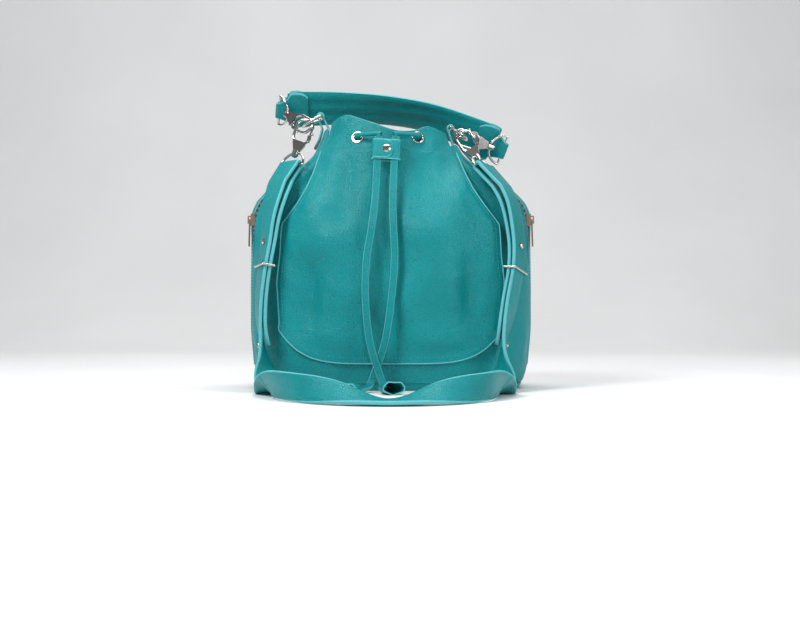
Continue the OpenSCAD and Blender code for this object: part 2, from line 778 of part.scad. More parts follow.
// Routes of the two free tails, from the slide down the front and on to the surface
left_tail = [
    slide_at + [-lace_step, 0, 0] + slide_axis * (slide_h / 2 + 4), slide_at + [-lace_step, 0, 0] - slide_axis * 48,
    [-18, -93, 160], [-23, -95, 128], [-24, -96, 90], [-20, -97, 50], [-12, -98, 22],
    [-7, -101, 8], [-5, -110, 2.8]
];
right_tail = [
    slide_at + [lace_step, 0, 0] + slide_axis * (slide_h / 2 + 4), slide_at + [lace_step, 0, 0] - slide_axis * 48,
    [3, -92, 160], [4, -94, 128], [1, -95, 90], [-5, -95, 50], [-14, -93, 22],
    [-20, -97, 7], [-28, -112, 2.8], [-34, -134, 2.8]
];
tail_steps = 3;

module lace(route) {
    color(leather) strip(route, [for (p = route) [lace_w / 2, 0, 0]], lace_t, round_section);
}

module lace_tail(points) {
    lace(curve(points, tail_steps));
}

// Half of the rest of the lace: in at a front eyelet, round the mouth, out at the back and to the middle
function lace_half(start, x, side) =
    let (
        hole = eyelet_point(x, 0, 0),
        out = eyelet_out(x),
        back = [hole[0], -hole[1], hole[2]],
        back_out = [out[0], -out[1], out[2]]
    )
    [
        start, start + slide_axis * 3, hole + out * 9 - [side * 3, 0, 0], hole + out * 4,
        hole - out * 4, [side * 50 - 3, -24, eyelet_z], [side * 57 - 3, 0, eyelet_z],
        [side * 50 - 3, 24, eyelet_z], back - back_out * 4, back + back_out * 4,
        back + back_out * 8 - [side * 4, 0, 0], [-3, half_d(eyelet_z) + 7, eyelet_z]
    ];

// The rest of the lace: round the inside of the mouth and out across the back
module drawstring() {
    left = lace_half(left_tail[0] + slide_axis * 0.2, eyelet_x[0], -1);
    right = lace_half(right_tail[0] + slide_axis * 0.2, eyelet_x[1], 1);
    color(leather) loft(lace_rings(concat(left, [for (i = [len(right) - 2 : -1 : 0]) right[i]])));
}

// Rings for a lace that turns every way, gathered to a round cord
function lace_rings(points) =
    let (path = curve(points, 3), r = 2.2)
    [
        for (i = [0 : len(path) - 1])
            let (
                along = tangent(path, i),
                up = side_step(abs(along[2]) > 0.9 ? [0, 1, 0] : [0, 0, 1], along),
                side = cross(along, up)
            )
            [for (a = [0 : 45 : 359]) path[i] + r * (up * cos(a) - side * sin(a))]
    ];

// Leather band that wraps both laces, made as two tubes joined in the middle
module cord_slide() {
    tube = [lace_w + 2 * 0.6, lace_t + 2 * 0.6];
    band = 1.8;
    module outer(x, grow) {
        translate([x, 0]) square([tube[0] + grow, tube[1] + grow], center = true);
    }
    color(leather) place(slide_at, slide_axis, [0, 1, 0]) difference() {
        translate([0, 0, -slide_h / 2]) linear_extrude(slide_h) union() {
            outer(-lace_step, 2 * band);
            outer(lace_step, 2 * band);
            translate([0, -tube[1] / 2 - band / 2]) square([2 * lace_step, band], center = true);
            translate([0, tube[1] / 2 + band / 2]) square([2 * lace_step, band], center = true);
        }
        translate([0, 0, -slide_h]) linear_extrude(2 * slide_h) {
            outer(-lace_step, 0);
            outer(lace_step, 0);
        }
        rotate([90, 0, 0]) cylinder(r = 1.6, h = 30, center = true);
    }
}

module cord_slide_rivet() {
    face = (lace_t + 1.2) / 2 + 1.8;
    color(nickel) place(slide_at, slide_axis, [0, 1, 0]) rotate([90, 0, 0]) {
        cylinder(r = 1.5, h = 2 * face, center = true);
        translate([0, 0, face + 0.05]) cylinder(r = 4.4, h = 0.8);
        translate([0, 0, face + 0.85]) cylinder(r1 = 4.4, r2 = 2.6, h = 1);
        translate([0, 0, -face - 1.05]) cylinder(r = 4.4, h = 1);
        cylinder(r = 1.5, h = 2 * face + 1, center = true);
    }
}

// Flat bell of folded leather at the end of each tail, lying on the surface
module tassel(from, direction, length, top, bottom) {
    steps = 5;
    side = cross(direction, [0, 0, 1]);
    color(leather) loft([
        for (i = [0 : steps])
            let (
                f = i / steps,
                half = mix(top, bottom, f) / 2,
                deep = mix(5.2, 6.4, f),
                mid = from + direction * length * f
            )
            [
                for (a = [0 : 22.5 : 359])
                    [mid[0], mid[1], deep + 0.3] + side * half * cos(a) + [0, 0, deep] * sin(a)
            ]
    ]);
}

function tail_end(points) = points[len(points) - 1];

// ---- the nodes ----

front_panel();
back_panel();
front_wrap(true);  // front_wrap_left
front_wrap(false);  // front_wrap_right
rear_wrap(true);  // rear_wrap_left
rear_wrap(false);  // rear_wrap_right
base_panel();
base_board();
base_piping();
lining();
front_collar();
back_collar();
eyelets();
drawstring();
zip_tape(true);  // zip_tape_left
zip_tape(false);  // zip_tape_right
zip_teeth(true);  // zip_teeth_left
zip_teeth(false);  // zip_teeth_right
zip_slider(true);  // zip_slider_left
zip_slider(false);  // zip_slider_right
zip_pull(true);  // zip_pull_left
zip_pull(false);  // zip_pull_right
ring_tab(0);  // ring_tab_left
ring_tab(1);  // ring_tab_right
d_ring(0);  // d_ring_left
d_ring(1);  // d_ring_right
cord_slide();
cord_slide_rivet();
lace_tail(left_tail);  // lace_tail_left
lace_tail(right_tail);  // lace_tail_right
tassel(tail_end(right_tail), unit([-0.25, -1, 0]), 34, 15, 24);  // tassel_left
tassel(tail_end(left_tail), unit([0.3, -1, 0]), 31, 13, 20);  // tassel_right
handle();
handle_tab(0);  // handle_tab_left
handle_tab(1);  // handle_tab_right
hook_ring(handle_hooks[0]);  // handle_ring_left
hook_ring(handle_hooks[1]);  // handle_ring_right
hook(handle_hooks[0]);  // handle_hook_left
hook(handle_hooks[1]);  // handle_hook_right
gate(handle_hooks[0]);  // handle_gate_left
gate(handle_hooks[1]);  // handle_gate_right
strap_end(0);  // strap_left
strap_middle();
strap_end(1);  // strap_right
hook_ring(strap_hooks[0]);  // strap_ring_left
hook_ring(strap_hooks[1]);  // strap_ring_right
hook(strap_hooks[0]);  // strap_hook_left
hook(strap_hooks[1]);  // strap_hook_right
gate(strap_hooks[0]);  // strap_gate_left
gate(strap_hooks[1]);  // strap_gate_right
strap_loop(0);  // strap_loop_left
strap_loop(1);  // strap_loop_right
strap_studs();
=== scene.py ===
"""Drawstring bucket bag: leather body, collar, laces, strap and handle built around the CAD metalwork."""
import math

import bpy
import numpy as np
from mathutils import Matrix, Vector, noise


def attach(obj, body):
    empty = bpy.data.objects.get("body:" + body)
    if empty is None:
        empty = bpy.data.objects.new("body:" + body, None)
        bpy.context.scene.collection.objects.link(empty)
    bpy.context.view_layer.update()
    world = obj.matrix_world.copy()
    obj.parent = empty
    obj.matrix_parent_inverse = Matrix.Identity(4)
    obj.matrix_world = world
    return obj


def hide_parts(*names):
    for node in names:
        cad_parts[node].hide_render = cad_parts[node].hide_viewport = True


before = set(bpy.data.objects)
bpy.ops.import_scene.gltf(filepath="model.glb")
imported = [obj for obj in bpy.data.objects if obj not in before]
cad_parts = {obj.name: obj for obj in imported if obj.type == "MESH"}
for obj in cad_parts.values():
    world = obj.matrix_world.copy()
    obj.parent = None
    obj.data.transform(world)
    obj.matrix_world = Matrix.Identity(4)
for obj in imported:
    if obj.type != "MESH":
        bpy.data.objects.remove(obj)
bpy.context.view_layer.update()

MM = 0.001
SIDES = ("left", "right")

# ---- camera ----

EYE_BACK = 1.5
EYE_HEIGHT = 0.090
EYE_RIGHT = 0.0093
LENS = 65.6
PITCH = 0.53


def add_camera():
    data = bpy.data.cameras.new("camera")
    data.lens = LENS
    data.clip_end = 30
    camera = bpy.data.objects.new("camera", data)
    camera.location = (EYE_RIGHT, -EYE_BACK, EYE_HEIGHT)
    camera.rotation_euler = (math.radians(90 - PITCH), 0, 0)
    bpy.context.scene.collection.objects.link(camera)
    bpy.context.scene.camera = camera


add_camera()

# ---- small maths; shapes are worked out in millimetres, as in the CAD model ----


def mix(a, b, f):
    return a + (b - a) * f


def clamp01(f):
    return max(0.0, min(1.0, f))


def ease(low, high, x):
    f = clamp01((x - low) / (high - low))
    return f * f * (3 - 2 * f)


def bell(x, middle, reach):
    return math.exp(-((x - middle) / reach) ** 2)


def lookup(x, table):
    return float(np.interp(x, [row[0] for row in table], [row[1] for row in table]))


def smooth(x, table, reach=8):
    return (lookup(x - reach, table) + 2 * lookup(x, table) + lookup(x + reach, table)) / 4


def side_step(v, along):
    return (v - along * v.dot(along)).normalized()


def signed_power(v, p):
    return math.copysign(abs(v) ** p, v)


def curve(points, steps):
    """A Catmull-Rom curve through the points, with so many steps from each to the next."""
    p = [Vector(q) for q in points]
    out = []
    for i in range(len(p) - 1):
        a, b, c, d = p[max(i - 1, 0)], p[i], p[i + 1], p[min(i + 2, len(p) - 1)]
        for k in range(steps):
            f = k / steps
            out.append(b + (c - a) * f / 2 + (a - 2.5 * b + 2 * c - d / 2) * f * f
                       + (3 * b - a - 3 * c + d) * f ** 3 / 2)
    return out + [p[-1]]


def tangent(path, i):
    return (path[min(i + 1, len(path) - 1)] - path[max(i - 1, 0)]).normalized()


# ---- materials ----

def new_material(name):
    material = bpy.data.materials.new(name)
    material.use_nodes = True
    return material, material.node_tree.nodes, material.node_tree.links


def add_node(nodes, kind, **values):
    node = nodes.new("ShaderNode" + kind)
    for key, value in values.items():
        if key in node.inputs:
            node.inputs[key].default_value = value
        else:
            setattr(node, key, value)
    return node


def math_node(nodes, links, operation, a, b):
    node = add_node(nodes, "Math", operation=operation)
    for i, value in enumerate((a, b)):
        if isinstance(value, (int, float)):
            node.inputs[i].default_value = value
        else:
            links.new(value, node.inputs[i])
    return node.outputs[0]


def ramp(nodes, links, source, stops):
    node = nodes.new("ShaderNodeValToRGB")
    elements = node.color_ramp.elements
    while len(elements) < len(stops):
        elements.new(0.5)
    for element, (place, colour) in zip(elements, stops):
        element.position = place
        element.color = (*colour, 1) if len(colour) == 3 else colour
    links.new(source, node.inputs[0])
    return node.outputs[0]


def grey(v):
    return (v, v, v)


def leather_material(name, colour, rough=0.34, pebble_mm=2.0, relief_mm=0.34, painted_crease_shade=0.66):
    """Pebbled leather: cells with painted shade in the creases between them, fine pores and slow changes of
    colour.
    """
    material, nodes, links = new_material(name)
    shader = nodes["Principled BSDF"]
    coords = nodes.new("ShaderNodeTexCoord").outputs["Object"]
    warp = add_node(nodes, "TexNoise", Scale=260.0, Detail=2.0)
    links.new(coords, warp.inputs["Vector"])
    push = add_node(nodes, "VectorMath", operation="MULTIPLY_ADD")
    push.inputs[1].default_value = (0.0016, 0.0016, 0.0016)
    links.new(warp.outputs["Color"], push.inputs[0])
    links.new(coords, push.inputs[2])
    cells = add_node(nodes, "TexVoronoi", feature="DISTANCE_TO_EDGE", Scale=1 / (pebble_mm * MM))
    links.new(push.outputs[0], cells.inputs["Vector"])
    dome = ramp(nodes, links, cells.outputs["Distance"],
                [(0.0, grey(0)), (0.09, grey(0.62)), (0.34, grey(1))])
    pores = add_node(nodes, "TexNoise", Scale=2200.0, Detail=2.0)
    links.new(coords, pores.inputs["Vector"])
    slow = add_node(nodes, "TexNoise", Scale=16.0, Detail=4.0)
    links.new(coords, slow.inputs["Vector"])
    # Colour: painted shade darkens the creases, broad patches a little lighter and darker
    patches = ramp(nodes, links, slow.outputs["Fac"],
                   [(0.3, [c * 0.86 for c in colour]), (0.7, [min(1, c * 1.08) for c in colour])])
    # Painted shade: the colour is darkened in the creases between the pebbles
    crease = ramp(nodes, links, dome, [(0.0, grey(painted_crease_shade)), (0.7, grey(1))])
    shade = add_node(nodes, "MixRGB", blend_type="MULTIPLY", Fac=1.0)
    links.new(patches, shade.inputs["Color1"])
    links.new(crease, shade.inputs["Color2"])
    links.new(shade.outputs[0], shader.inputs["Base Color"])
    # Roughness: creases matt, crowns worn smoother
    uneven = math_node(nodes, links, "MULTIPLY", slow.outputs["Fac"], 0.16)
    worn = math_node(nodes, links, "MULTIPLY", dome, -0.10)
    rough_sum = math_node(nodes, links, "ADD", uneven, worn)
    links.new(math_node(nodes, links, "ADD", rough_sum, rough), shader.inputs["Roughness"])
    height = math_node(nodes, links, "ADD", dome,
                       math_node(nodes, links, "MULTIPLY", pores.outputs["Fac"], 0.14))
    bump = add_node(nodes, "Bump", Strength=1.0, Distance=relief_mm * MM)
    links.new(height, bump.inputs["Height"])
    links.new(bump.outputs[0], shader.inputs["Normal"])
    shader.inputs["Specular IOR Level"].default_value = 0.3
    return material


def cut_edge_material(name, colour):
    """A raw cut edge: pale, matt and fibrous."""
    material, nodes, links = new_material(name)
    shader = nodes["Principled BSDF"]
    coords = nodes.new("ShaderNodeTexCoord").outputs["Object"]
    fibre = add_node(nodes, "TexNoise", Scale=900.0, Detail=5.0)
    links.new(coords, fibre.inputs["Vector"])
    links.new(ramp(nodes, links, fibre.outputs["Fac"],
                   [(0.3, [c * 0.78 for c in colour]), (0.7, colour)]), shader.inputs["Base Color"])
    bump = add_node(nodes, "Bump", Strength=0.6, Distance=0.12 * MM)
    links.new(fibre.outputs["Fac"], bump.inputs["Height"])
    links.new(bump.outputs[0], shader.inputs["Normal"])
    shader.inputs["Roughness"].default_value = 0.7
    return material


def metal_material(name, colour, rough, mottled=0.10):
    """Plated metal with a faint uneven polish."""
    material, nodes, links = new_material(name)
    shader = nodes["Principled BSDF"]
    coords = nodes.new("ShaderNodeTexCoord").outputs["Object"]
    marks = add_node(nodes, "TexNoise", Scale=420.0, Detail=6.0, Roughness=0.7)
    links.new(coords, marks.inputs["Vector"])
    links.new(ramp(nodes, links, marks.outputs["Fac"],
                   [(0.3, [c * 0.88 for c in colour]), (0.7, colour)]), shader.inputs["Base Color"])
    uneven = math_node(nodes, links, "MULTIPLY", marks.outputs["Fac"], mottled)
    links.new(math_node(nodes, links, "ADD", uneven, rough - mottled / 2), shader.inputs["Roughness"])
    bump = add_node(nodes, "Bump", Strength=0.25, Distance=0.04 * MM)
    links.new(marks.outputs["Fac"], bump.inputs["Height"])
    links.new(bump.outputs[0], shader.inputs["Normal"])
    shader.inputs["Metallic"].default_value = 1.0
    return material


def woven_material(name, colour, thread_mm):
    """Plain weave: two crossed sets of threads."""
    material, nodes, links = new_material(name)
    shader = nodes["Principled BSDF"]
    coords = nodes.new("ShaderNodeTexCoord").outputs["Object"]
    waves = []
    for direction in ("X", "Z"):
        wave = add_node(nodes, "TexWave", bands_direction=direction, Scale=0.32 / (thread_mm * MM),
                        Distortion=1.2, Detail=2.0)
        links.new(coords, wave.inputs["Vector"])
        waves.append(wave.outputs["Fac"])
    weave = math_node(nodes, links, "MAXIMUM", *waves)
    links.new(ramp(nodes, links, weave, [(0.2, [c * 0.6 for c in colour]), (0.9, colour)]),
              shader.inputs["Base Color"])
    bump = add_node(nodes, "Bump", Strength=0.8, Distance=0.12 * MM)
    links.new(weave, bump.inputs["Height"])
    links.new(bump.outputs[0], shader.inputs["Normal"])
    shader.inputs["Roughness"].default_value = 0.85
    shader.inputs["Sheen Weight"].default_value = 0.25
    return material


TEAL = (0.0, 0.292, 0.312)
LEATHER = leather_material("leather", TEAL)
# The fine leather gets lighter painted shade in its creases
SMOOTH_LEATHER = leather_material("leather_fine", (0.0, 0.262, 0.280), rough=0.46, pebble_mm=1.2,
                                  relief_mm=0.07, painted_crease_shade=0.8)
CUT_EDGE = cut_edge_material("leather_cut_edge", (0.11, 0.50, 0.54))
THREAD = cut_edge_material("thread", (0.02, 0.38, 0.41))
NICKEL = metal_material("nickel", (0.62, 0.60, 0.57), 0.16)
ZIP_METAL = metal_material("zip_metal", (0.42, 0.31, 0.24), 0.36)
LINING = woven_material("lining_cloth", (0.03, 0.13, 0.14), 0.5)
TAPE = woven_material("zip_tape", (0.05, 0.12, 0.12), 0.45)
BOARD = leather_material("board", (0.12, 0.12, 0.12), rough=0.7, pebble_mm=0.8, relief_mm=0.05)

# ---- mesh building ----


def add_mesh(name, points, faces, body, materials, replaced=(), indices=None, sharp=40):
    """One mesh piece from points in millimetres, riding on a body."""
    mesh = bpy.data.meshes.new(name)
    mesh.from_pydata([p * MM for p in points], [], faces)
    for material in materials:
        mesh.materials.append(material)
    if indices is not None:
        mesh.polygons.foreach_set("material_index", indices)
    mesh.polygons.foreach_set("use_smooth", [True] * len(mesh.polygons))
    mesh.validate()
    mesh.update()
    mesh.set_sharp_from_angle(angle=math.radians(sharp))
    piece = bpy.data.objects.new(name, mesh)
    bpy.context.scene.collection.objects.link(piece)
    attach(piece, body)
    if replaced:
        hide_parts(*replaced)
    return piece


def grid_normals(grid):
    a = np.array([[tuple(p) for p in row] for row in grid])
    du = np.gradient(a, axis=0)
    dv = np.gradient(a, axis=1)
    n = np.cross(du, dv)
    return n / np.maximum(np.linalg.norm(n, axis=2, keepdims=True), 1e-9)


def sheet_piece(name, grid, thick, body, replaced=(), materials=None, keep=None,
                round_edge=0.5, wrap=False):
    """Leather of one thickness under a grid of outer points, with a rounded cut edge all round.
    The outer side is to the right of the rows' direction as the columns go up. keep(p) drops faces."""
    materials = materials or [LEATHER, CUT_EDGE]
    rows, cols = len(grid), len(grid[0])
    n = grid_normals(grid)
    a = np.array([[tuple(p) for p in row] for row in grid])
    inset = a.copy()
    pull = round_edge * thick / 2

    def toward(edge, inner):
        d = inner - edge
        return edge + d / np.maximum(np.linalg.norm(d, axis=-1, keepdims=True), 1e-9) * pull
    if not wrap:
        inset[0], inset[-1] = toward(a[0], a[1]), toward(a[-1], a[-2])
    inset[:, 0] = toward(inset[:, 0], a[:, 1])
    inset[:, -1] = toward(inset[:, -1], a[:, -2])
    layers = [inset, inset - n * thick]
    points = [Vector(p) for layer in layers for row in layer for p in row]
    count = rows * cols

    def at(side, r, c):
        return side * count + r * cols + c
    faces, indices = [], []
    for r in range(rows - 1):
        for c in range(cols - 1):
            if keep and not keep(Vector(a[r, c])):
                continue
            faces.append([at(0, r, c), at(0, r + 1, c), at(0, r + 1, c + 1), at(0, r, c + 1)])
            faces.append([at(1, r, c), at(1, r, c + 1), at(1, r + 1, c + 1), at(1, r + 1, c)])
            indices += [0, 0]
    border = [(r, 0) for r in range(rows)] + [(rows - 1, c) for c in range(1, cols)]
    border += [(r, cols - 1) for r in range(rows - 2, -1, -1)] + [(0, c) for c in range(cols - 2, 0, -1)]
    middle = len(points)
    for r, c in border:
        points.append(Vector(a[r, c] - n[r, c] * thick / 2))
    size = len(border)
    for k in range(size):
        (r0, c0), (r1, c1) = border[k], border[(k + 1) % size]
        if wrap and r0 == r1 and r0 in (0, rows - 1) and c0 != c1:
            continue
        m0, m1 = middle + k, middle + (k + 1) % size
        faces.append([at(0, r1, c1), at(0, r0, c0), m0, m1])
        faces.append([m1, m0, at(1, r0, c0), at(1, r1, c1)])
        indices += [1, 1]
    return add_mesh(name, points, faces, body, materials, replaced, indices)


def strip_rings(path, across, width, thick, crown=0.0, rounded=0.09):
    """Rings of points round a flat strip, and which of the strip's sides each ring face is on."""
    top = [1 - rounded, 0.5, 0.0, -0.5, -1 + rounded]
    section = [(s, 1) for s in top] + [(-1, 0.5), (-1, -0.5)] + [(-s, -1) for s in top]
    section += [(1, -0.5), (1, 0.5)]
    rings = []
    for i, p in enumerate(path):
        along = tangent(path, i)
        wide = side_step(across[i], along)
        up = wide.cross(along)
        w = width[i] if isinstance(width, list) else width
        rings.append([p + wide * (s * w / 2) + up * (t * thick / 2 * (1 + crown * (1 - s * s)))
                      for s, t in section])
    pale = [4 <= k <= 6 or k >= 11 for k in range(len(section))]
    return rings, pale


def loft_mesh(rings, pale, closed=False):
    sides = len(rings[0])
    points = [p for ring in rings for p in ring]
    faces, indices = [], []
    last = len(rings) if closed else len(rings) - 1
    for r in range(last):
        for s in range(sides):
            a, b = r * sides + s, r * sides + (s + 1) % sides
            c, d = ((r + 1) % len(rings)) * sides + (s + 1) % sides, ((r + 1) % len(rings)) * sides + s
            faces.append([a, b, c, d])
            indices.append(1 if pale[s] else 0)
    if not closed:
        faces.append(list(range(sides - 1, -1, -1)))
        faces.append([(len(rings) - 1) * sides + s for s in range(sides)])
        indices += [1, 1]
    return points, faces, indices


def strip_piece(name, path, across, width, thick, body, replaced=(), materials=None, crown=0.0,
                rounded=0.09):
    rings, pale = strip_rings(path, across, width, thick, crown, rounded)
    points, faces, indices = loft_mesh(rings, pale)
    return add_mesh(name, points, faces, body, materials or [LEATHER, CUT_EDGE], replaced,
                    indices)


def stitch_piece(name, lines, body, pitch=3.4, thread=0.32, stand=0.12):
    """Rows of stitches. A line is a list of (point, outward direction) in millimetres."""
    points, faces = [], []
    for line in lines:
        left = pitch
        for (a, n), (b, _) in zip(line, line[1:]):
            step = (b - a).length
            while left <= step:
                middle = a.lerp(b, left / step) + n * stand
                along = (b - a).normalized()
                side = n.cross(along).normalized()
                first = len(points)
                for f, size in ((-0.34, 0.35), (-0.24, 1), (0.24, 1), (0.34, 0.35)):
                    for k in range(6):
                        turn = math.radians(60 * k)
                        around = side * math.cos(turn) + n * math.sin(turn)
                        sink = n * (-0.25 if size < 1 else 0)
                        points.append(middle + along * (pitch * f) + around * (thread * size) + sink)
                for r in range(3):
                    for k in range(6):
                        here, there = first + 6 * r + k, first + 6 * r + (k + 1) % 6
                        faces.append([here, there, there + 6, here + 6])
                faces.append([first + k for k in range(5, -1, -1)])
                faces.append([first + 18 + k for k in range(6)])
                left += pitch
            left -= step
    return add_mesh(name, points, faces, body, [THREAD])


# ---- the bag's body ----

BASE_W, BASE_D, WALL, BASE_EDGE = 264, 150, 2, 6
COLLAR_Z = 238
SIDE_PROFILE = [(0, -2), (18, 6), (60, 10), (175, 10), (190, 6), (207, -12), (225, -42), (245, -61),
                (262, -67), (300, -70)]
FRONT_PROFILE = [(0, -2), (18, 4), (60, 9), (110, 11), (160, 7), (190, -3), (250, -24), (300, -34)]
LEAN_PROFILE = [(180, 0), (250, 3), (300, 3)]
SQUARENESS = [(0, 3.6), (60, 3.2), (110, 2.9), (160, 2.4), (200, 2.1), (300, 2.1)]
PANEL_PROFILE = [(60, 108), (107, 111), (135, 108), (164, 107), (183, 94), (199, 84), (215, 77), (250, 66)]
PANEL_HALF, SEAM_LOW, SEAM_HIGH, SEAM_CURVE = 108, 27, 60, 5
COLLAR_PROFILE = [(238, 65), (250, 60), (276, 54)]
COLLAR_WAVES = [(-66, 268), (-50, 276), (-20, 267), (10, 257), (30, 258), (48, 265), (64, 257)]
BACK_WAVES = [(-64, 262), (-40, 268), (0, 262), (40, 264), (64, 256)]
SIDE_TOP = (264, 247)
ZIP_Y, ZIP_HALF, ZIP_TOP = -24, 4, 188


def half_w(z):
    return BASE_W / 2 + smooth(z, SIDE_PROFILE)


def half_d(z):
    return BASE_D / 2 + smooth(z, FRONT_PROFILE)


def bend(z):
    return 2 / smooth(z, SQUARENESS)


def lean(z):
    return -smooth(z, LEAN_PROFILE)


def skin(turn, z, out=0.0):
    """A point on the body: turn is 0 at the front, 90 at the right side and 180 at the back."""
    t = math.radians(turn)
    return Vector(((half_w(z) + out) * signed_power(math.sin(t), bend(z)) + lean(z),
                   -(half_d(z) + out) * signed_power(math.cos(t), bend(z)), z))


def turn_at_x(x, z):
    off = x - lean(z)
    return math.copysign(math.degrees(math.asin(min(1, abs(off) / half_w(z)) ** (1 / bend(z)))), off)


def turn_at_y(y, z):
    c = signed_power(-y / half_d(z), 1 / bend(z))
    return math.degrees(math.acos(max(-1, min(1, c))))


def seam_z(x):
    return mix(SEAM_LOW, SEAM_HIGH, min(1, abs(x) / PANEL_HALF) ** SEAM_CURVE)


def panel_half_at(z):
    return lookup(z, PANEL_PROFILE)


def rumple(p, scale, amount):
    """Slow, irregular swells of slack leather."""
    return amount * noise.noise(p / scale)


# Soft swells (+) and hollows (-) of the front: place across, height, reach across, reach up, amount
FRONT_SWELLS = [
    (-60, 152, 34, 26, 3.6), (-28, 100, 26, 26, 2.4), (40, 156, 36, 28, 3.6), (50, 104, 24, 34, 3.0),
    (-82, 92, 15, 40, -4.4), (82, 100, 15, 48, -4.2), (-4, 150, 13, 70, -3.4), (46, 52, 26, 14, 2.0),
    (-50, 50, 30, 14, 1.8), (-46, 204, 12, 30, -2.6), (34, 208, 12, 28, -2.6), (-70, 182, 16, 16, 3.0),
    (62, 184, 14, 18, 2.6), (-12, 62, 24, 16, -1.8), (16, 86, 12, 24, 1.8)
]


SWELL_SCALE = 1.9    # makes the amounts above deeper, all alike


def front_swell(x, z):
    total = SWELL_SCALE * sum(a * bell(x, cx, rx) * bell(z, cz, rz) for cx, cz, rx, rz, a in FRONT_SWELLS)
    gather = bell(z, COLLAR_Z, 30)
    total += gather * (1.5 * math.sin(x / 5.2) + 1.0 * math.sin(x / 8.5 + 1))
    return total


def panel_grid(sign, cols=112, rows=116):
    """Outer points of the front (sign -1) or back (sign 1) panel, from its left edge to its right."""
    grid = []
    for c in range(cols + 1):
        f = 2 * c / cols - 1
        column = []
        for r in range(rows + 1):
            z = mix(seam_z(f * PANEL_HALF), COLLAR_Z + 1, r / rows)
            half = panel_half_at(z)
            turn = turn_at_x(f * half + lean(z), z)
            p = skin(turn, z)
            edge = ease(0, 0.12, 1 - abs(f)) * ease(0, 0.10, r / rows) * ease(0, 0.06, 1 - r / rows)
            swell = front_swell(p.x, z) if sign < 0 else 0.8 * front_swell(-p.x * 0.9, z - 8)
            swell += rumple(p + Vector((0, 50 * sign, 0)), 26, 1.6) + rumple(p, 11, 0.5)
            out = swell * edge + 0.9 + 1.2 * (1 - ease(0, 0.05, r / rows))
            # The panel's upper sides are folded inwards along a soft ridge
            ridge = ease(150, 190, z) * (1 - ease(0, 0.10, 1 - abs(f)))
            q = skin(turn, z, out - 2.5 * ridge)
            column.append(Vector((q.x, q.y if sign < 0 else -q.y, q.z)))
        grid.append(column)
    return grid


def zip_turn(z, step):
    """The zip's line up the side; above the zip the two wraps close up."""
    closing = mix(1, 0.15, ease(ZIP_TOP - 2, ZIP_TOP + 10, z))
    return turn_at_y(ZIP_Y + step * closing, min(z, ZIP_TOP + 40))


WRAP_TURN = 0.42
WRAP_LOW = BASE_EDGE + 1.5


def panel_border(w, under):
    """The panel's border from the middle seam round and up, as (turn, height), moved under the panel."""
    if w < WRAP_TURN:
        x = PANEL_HALF * w / WRAP_TURN
        z = seam_z(x) + under
        return turn_at_x(min(x, PANEL_HALF - under), z), z
    f = (w - WRAP_TURN) / (1 - WRAP_TURN)
    z = mix(SEAM_HIGH, COLLAR_Z + 2, f)
    return turn_at_x(panel_half_at(z) - under + lean(z), z), z


def wrap_grid(rear, mirror, top, cols=90, rows=34):
    grid = []
    for c in range(cols + 1):
        w = c / cols
        near = panel_border(w, 5)
        if rear:
            near = (180 - near[0], near[1])
        edge = ZIP_HALF if rear else -ZIP_HALF
        if w < WRAP_TURN:
            far = (mix(180 if rear else 0, zip_turn(WRAP_LOW, edge), w / WRAP_TURN), WRAP_LOW)
        else:
            z = mix(WRAP_LOW, top, (w - WRAP_TURN) / (1 - WRAP_TURN))
            far = (zip_turn(z, edge), z)
        column = []
        for r in range(rows + 1):
            f = r / rows
            turn, z = mix(near[0], far[0], f), mix(near[1], far[1], f)
            p = skin(turn, z)
            upper = ease(120, 205, z)
            fold = bell(f, 0.30, 0.20) * upper * (1 - 0.35 * ease(225, 260, z))
            depth = 8 if rear else 13
            swell = rumple(p + Vector((90, 30, 0)), 24, 1.7) + rumple(p, 10, 0.5)
            hold = ease(0, 0.12, f) * ease(0, 0.10, 1 - f) * ease(0, 0.05, w)
            pleat = 1.6 * math.sin(f * 9 + z / 14) * bell(z, 236, 34)
            out = (swell + pleat) * hold - depth * fold - 1.1 * (1 - ease(0, 0.1, f)) + 0.3
            q = skin(turn, z, out)
            column.append(Vector((-q.x + 2 * lean(z) if mirror else q.x, q.y, q.z)))
        grid.append(column)
    flip = rear != mirror
    return grid[::-1] if flip else grid


def surface_line(points_turns, out):
    """Points on the body with their outward directions."""
    line = []
    for turn, z in points_turns:
        p = skin(turn, z, out)
        n = (skin(turn, z, out + 5) - p).normalized()
        line.append((p, n))
    return line


def build_body():
    sheet_piece("front_panel_leather", panel_grid(-1), 2.2, "bag", ["front_panel"])
    sheet_piece("back_panel_leather", panel_grid(1)[::-1], 2.2, "bag", ["back_panel"])
    for i, side in enumerate(SIDES):
        left = i == 0
        sheet_piece(f"front_wrap_leather_{side}", wrap_grid(False, left, SIDE_TOP[i])[::-1], 2.0, "bag",
                    [f"front_wrap_{side}"])
        sheet_piece(f"rear_wrap_leather_{side}", wrap_grid(True, left, SIDE_TOP[i])[::-1], 2.0, "bag",
                    [f"rear_wrap_{side}"])


def ring_of(z, inset, steps=160):
    return [skin(360 * k / steps, z, -inset) for k in range(steps)]


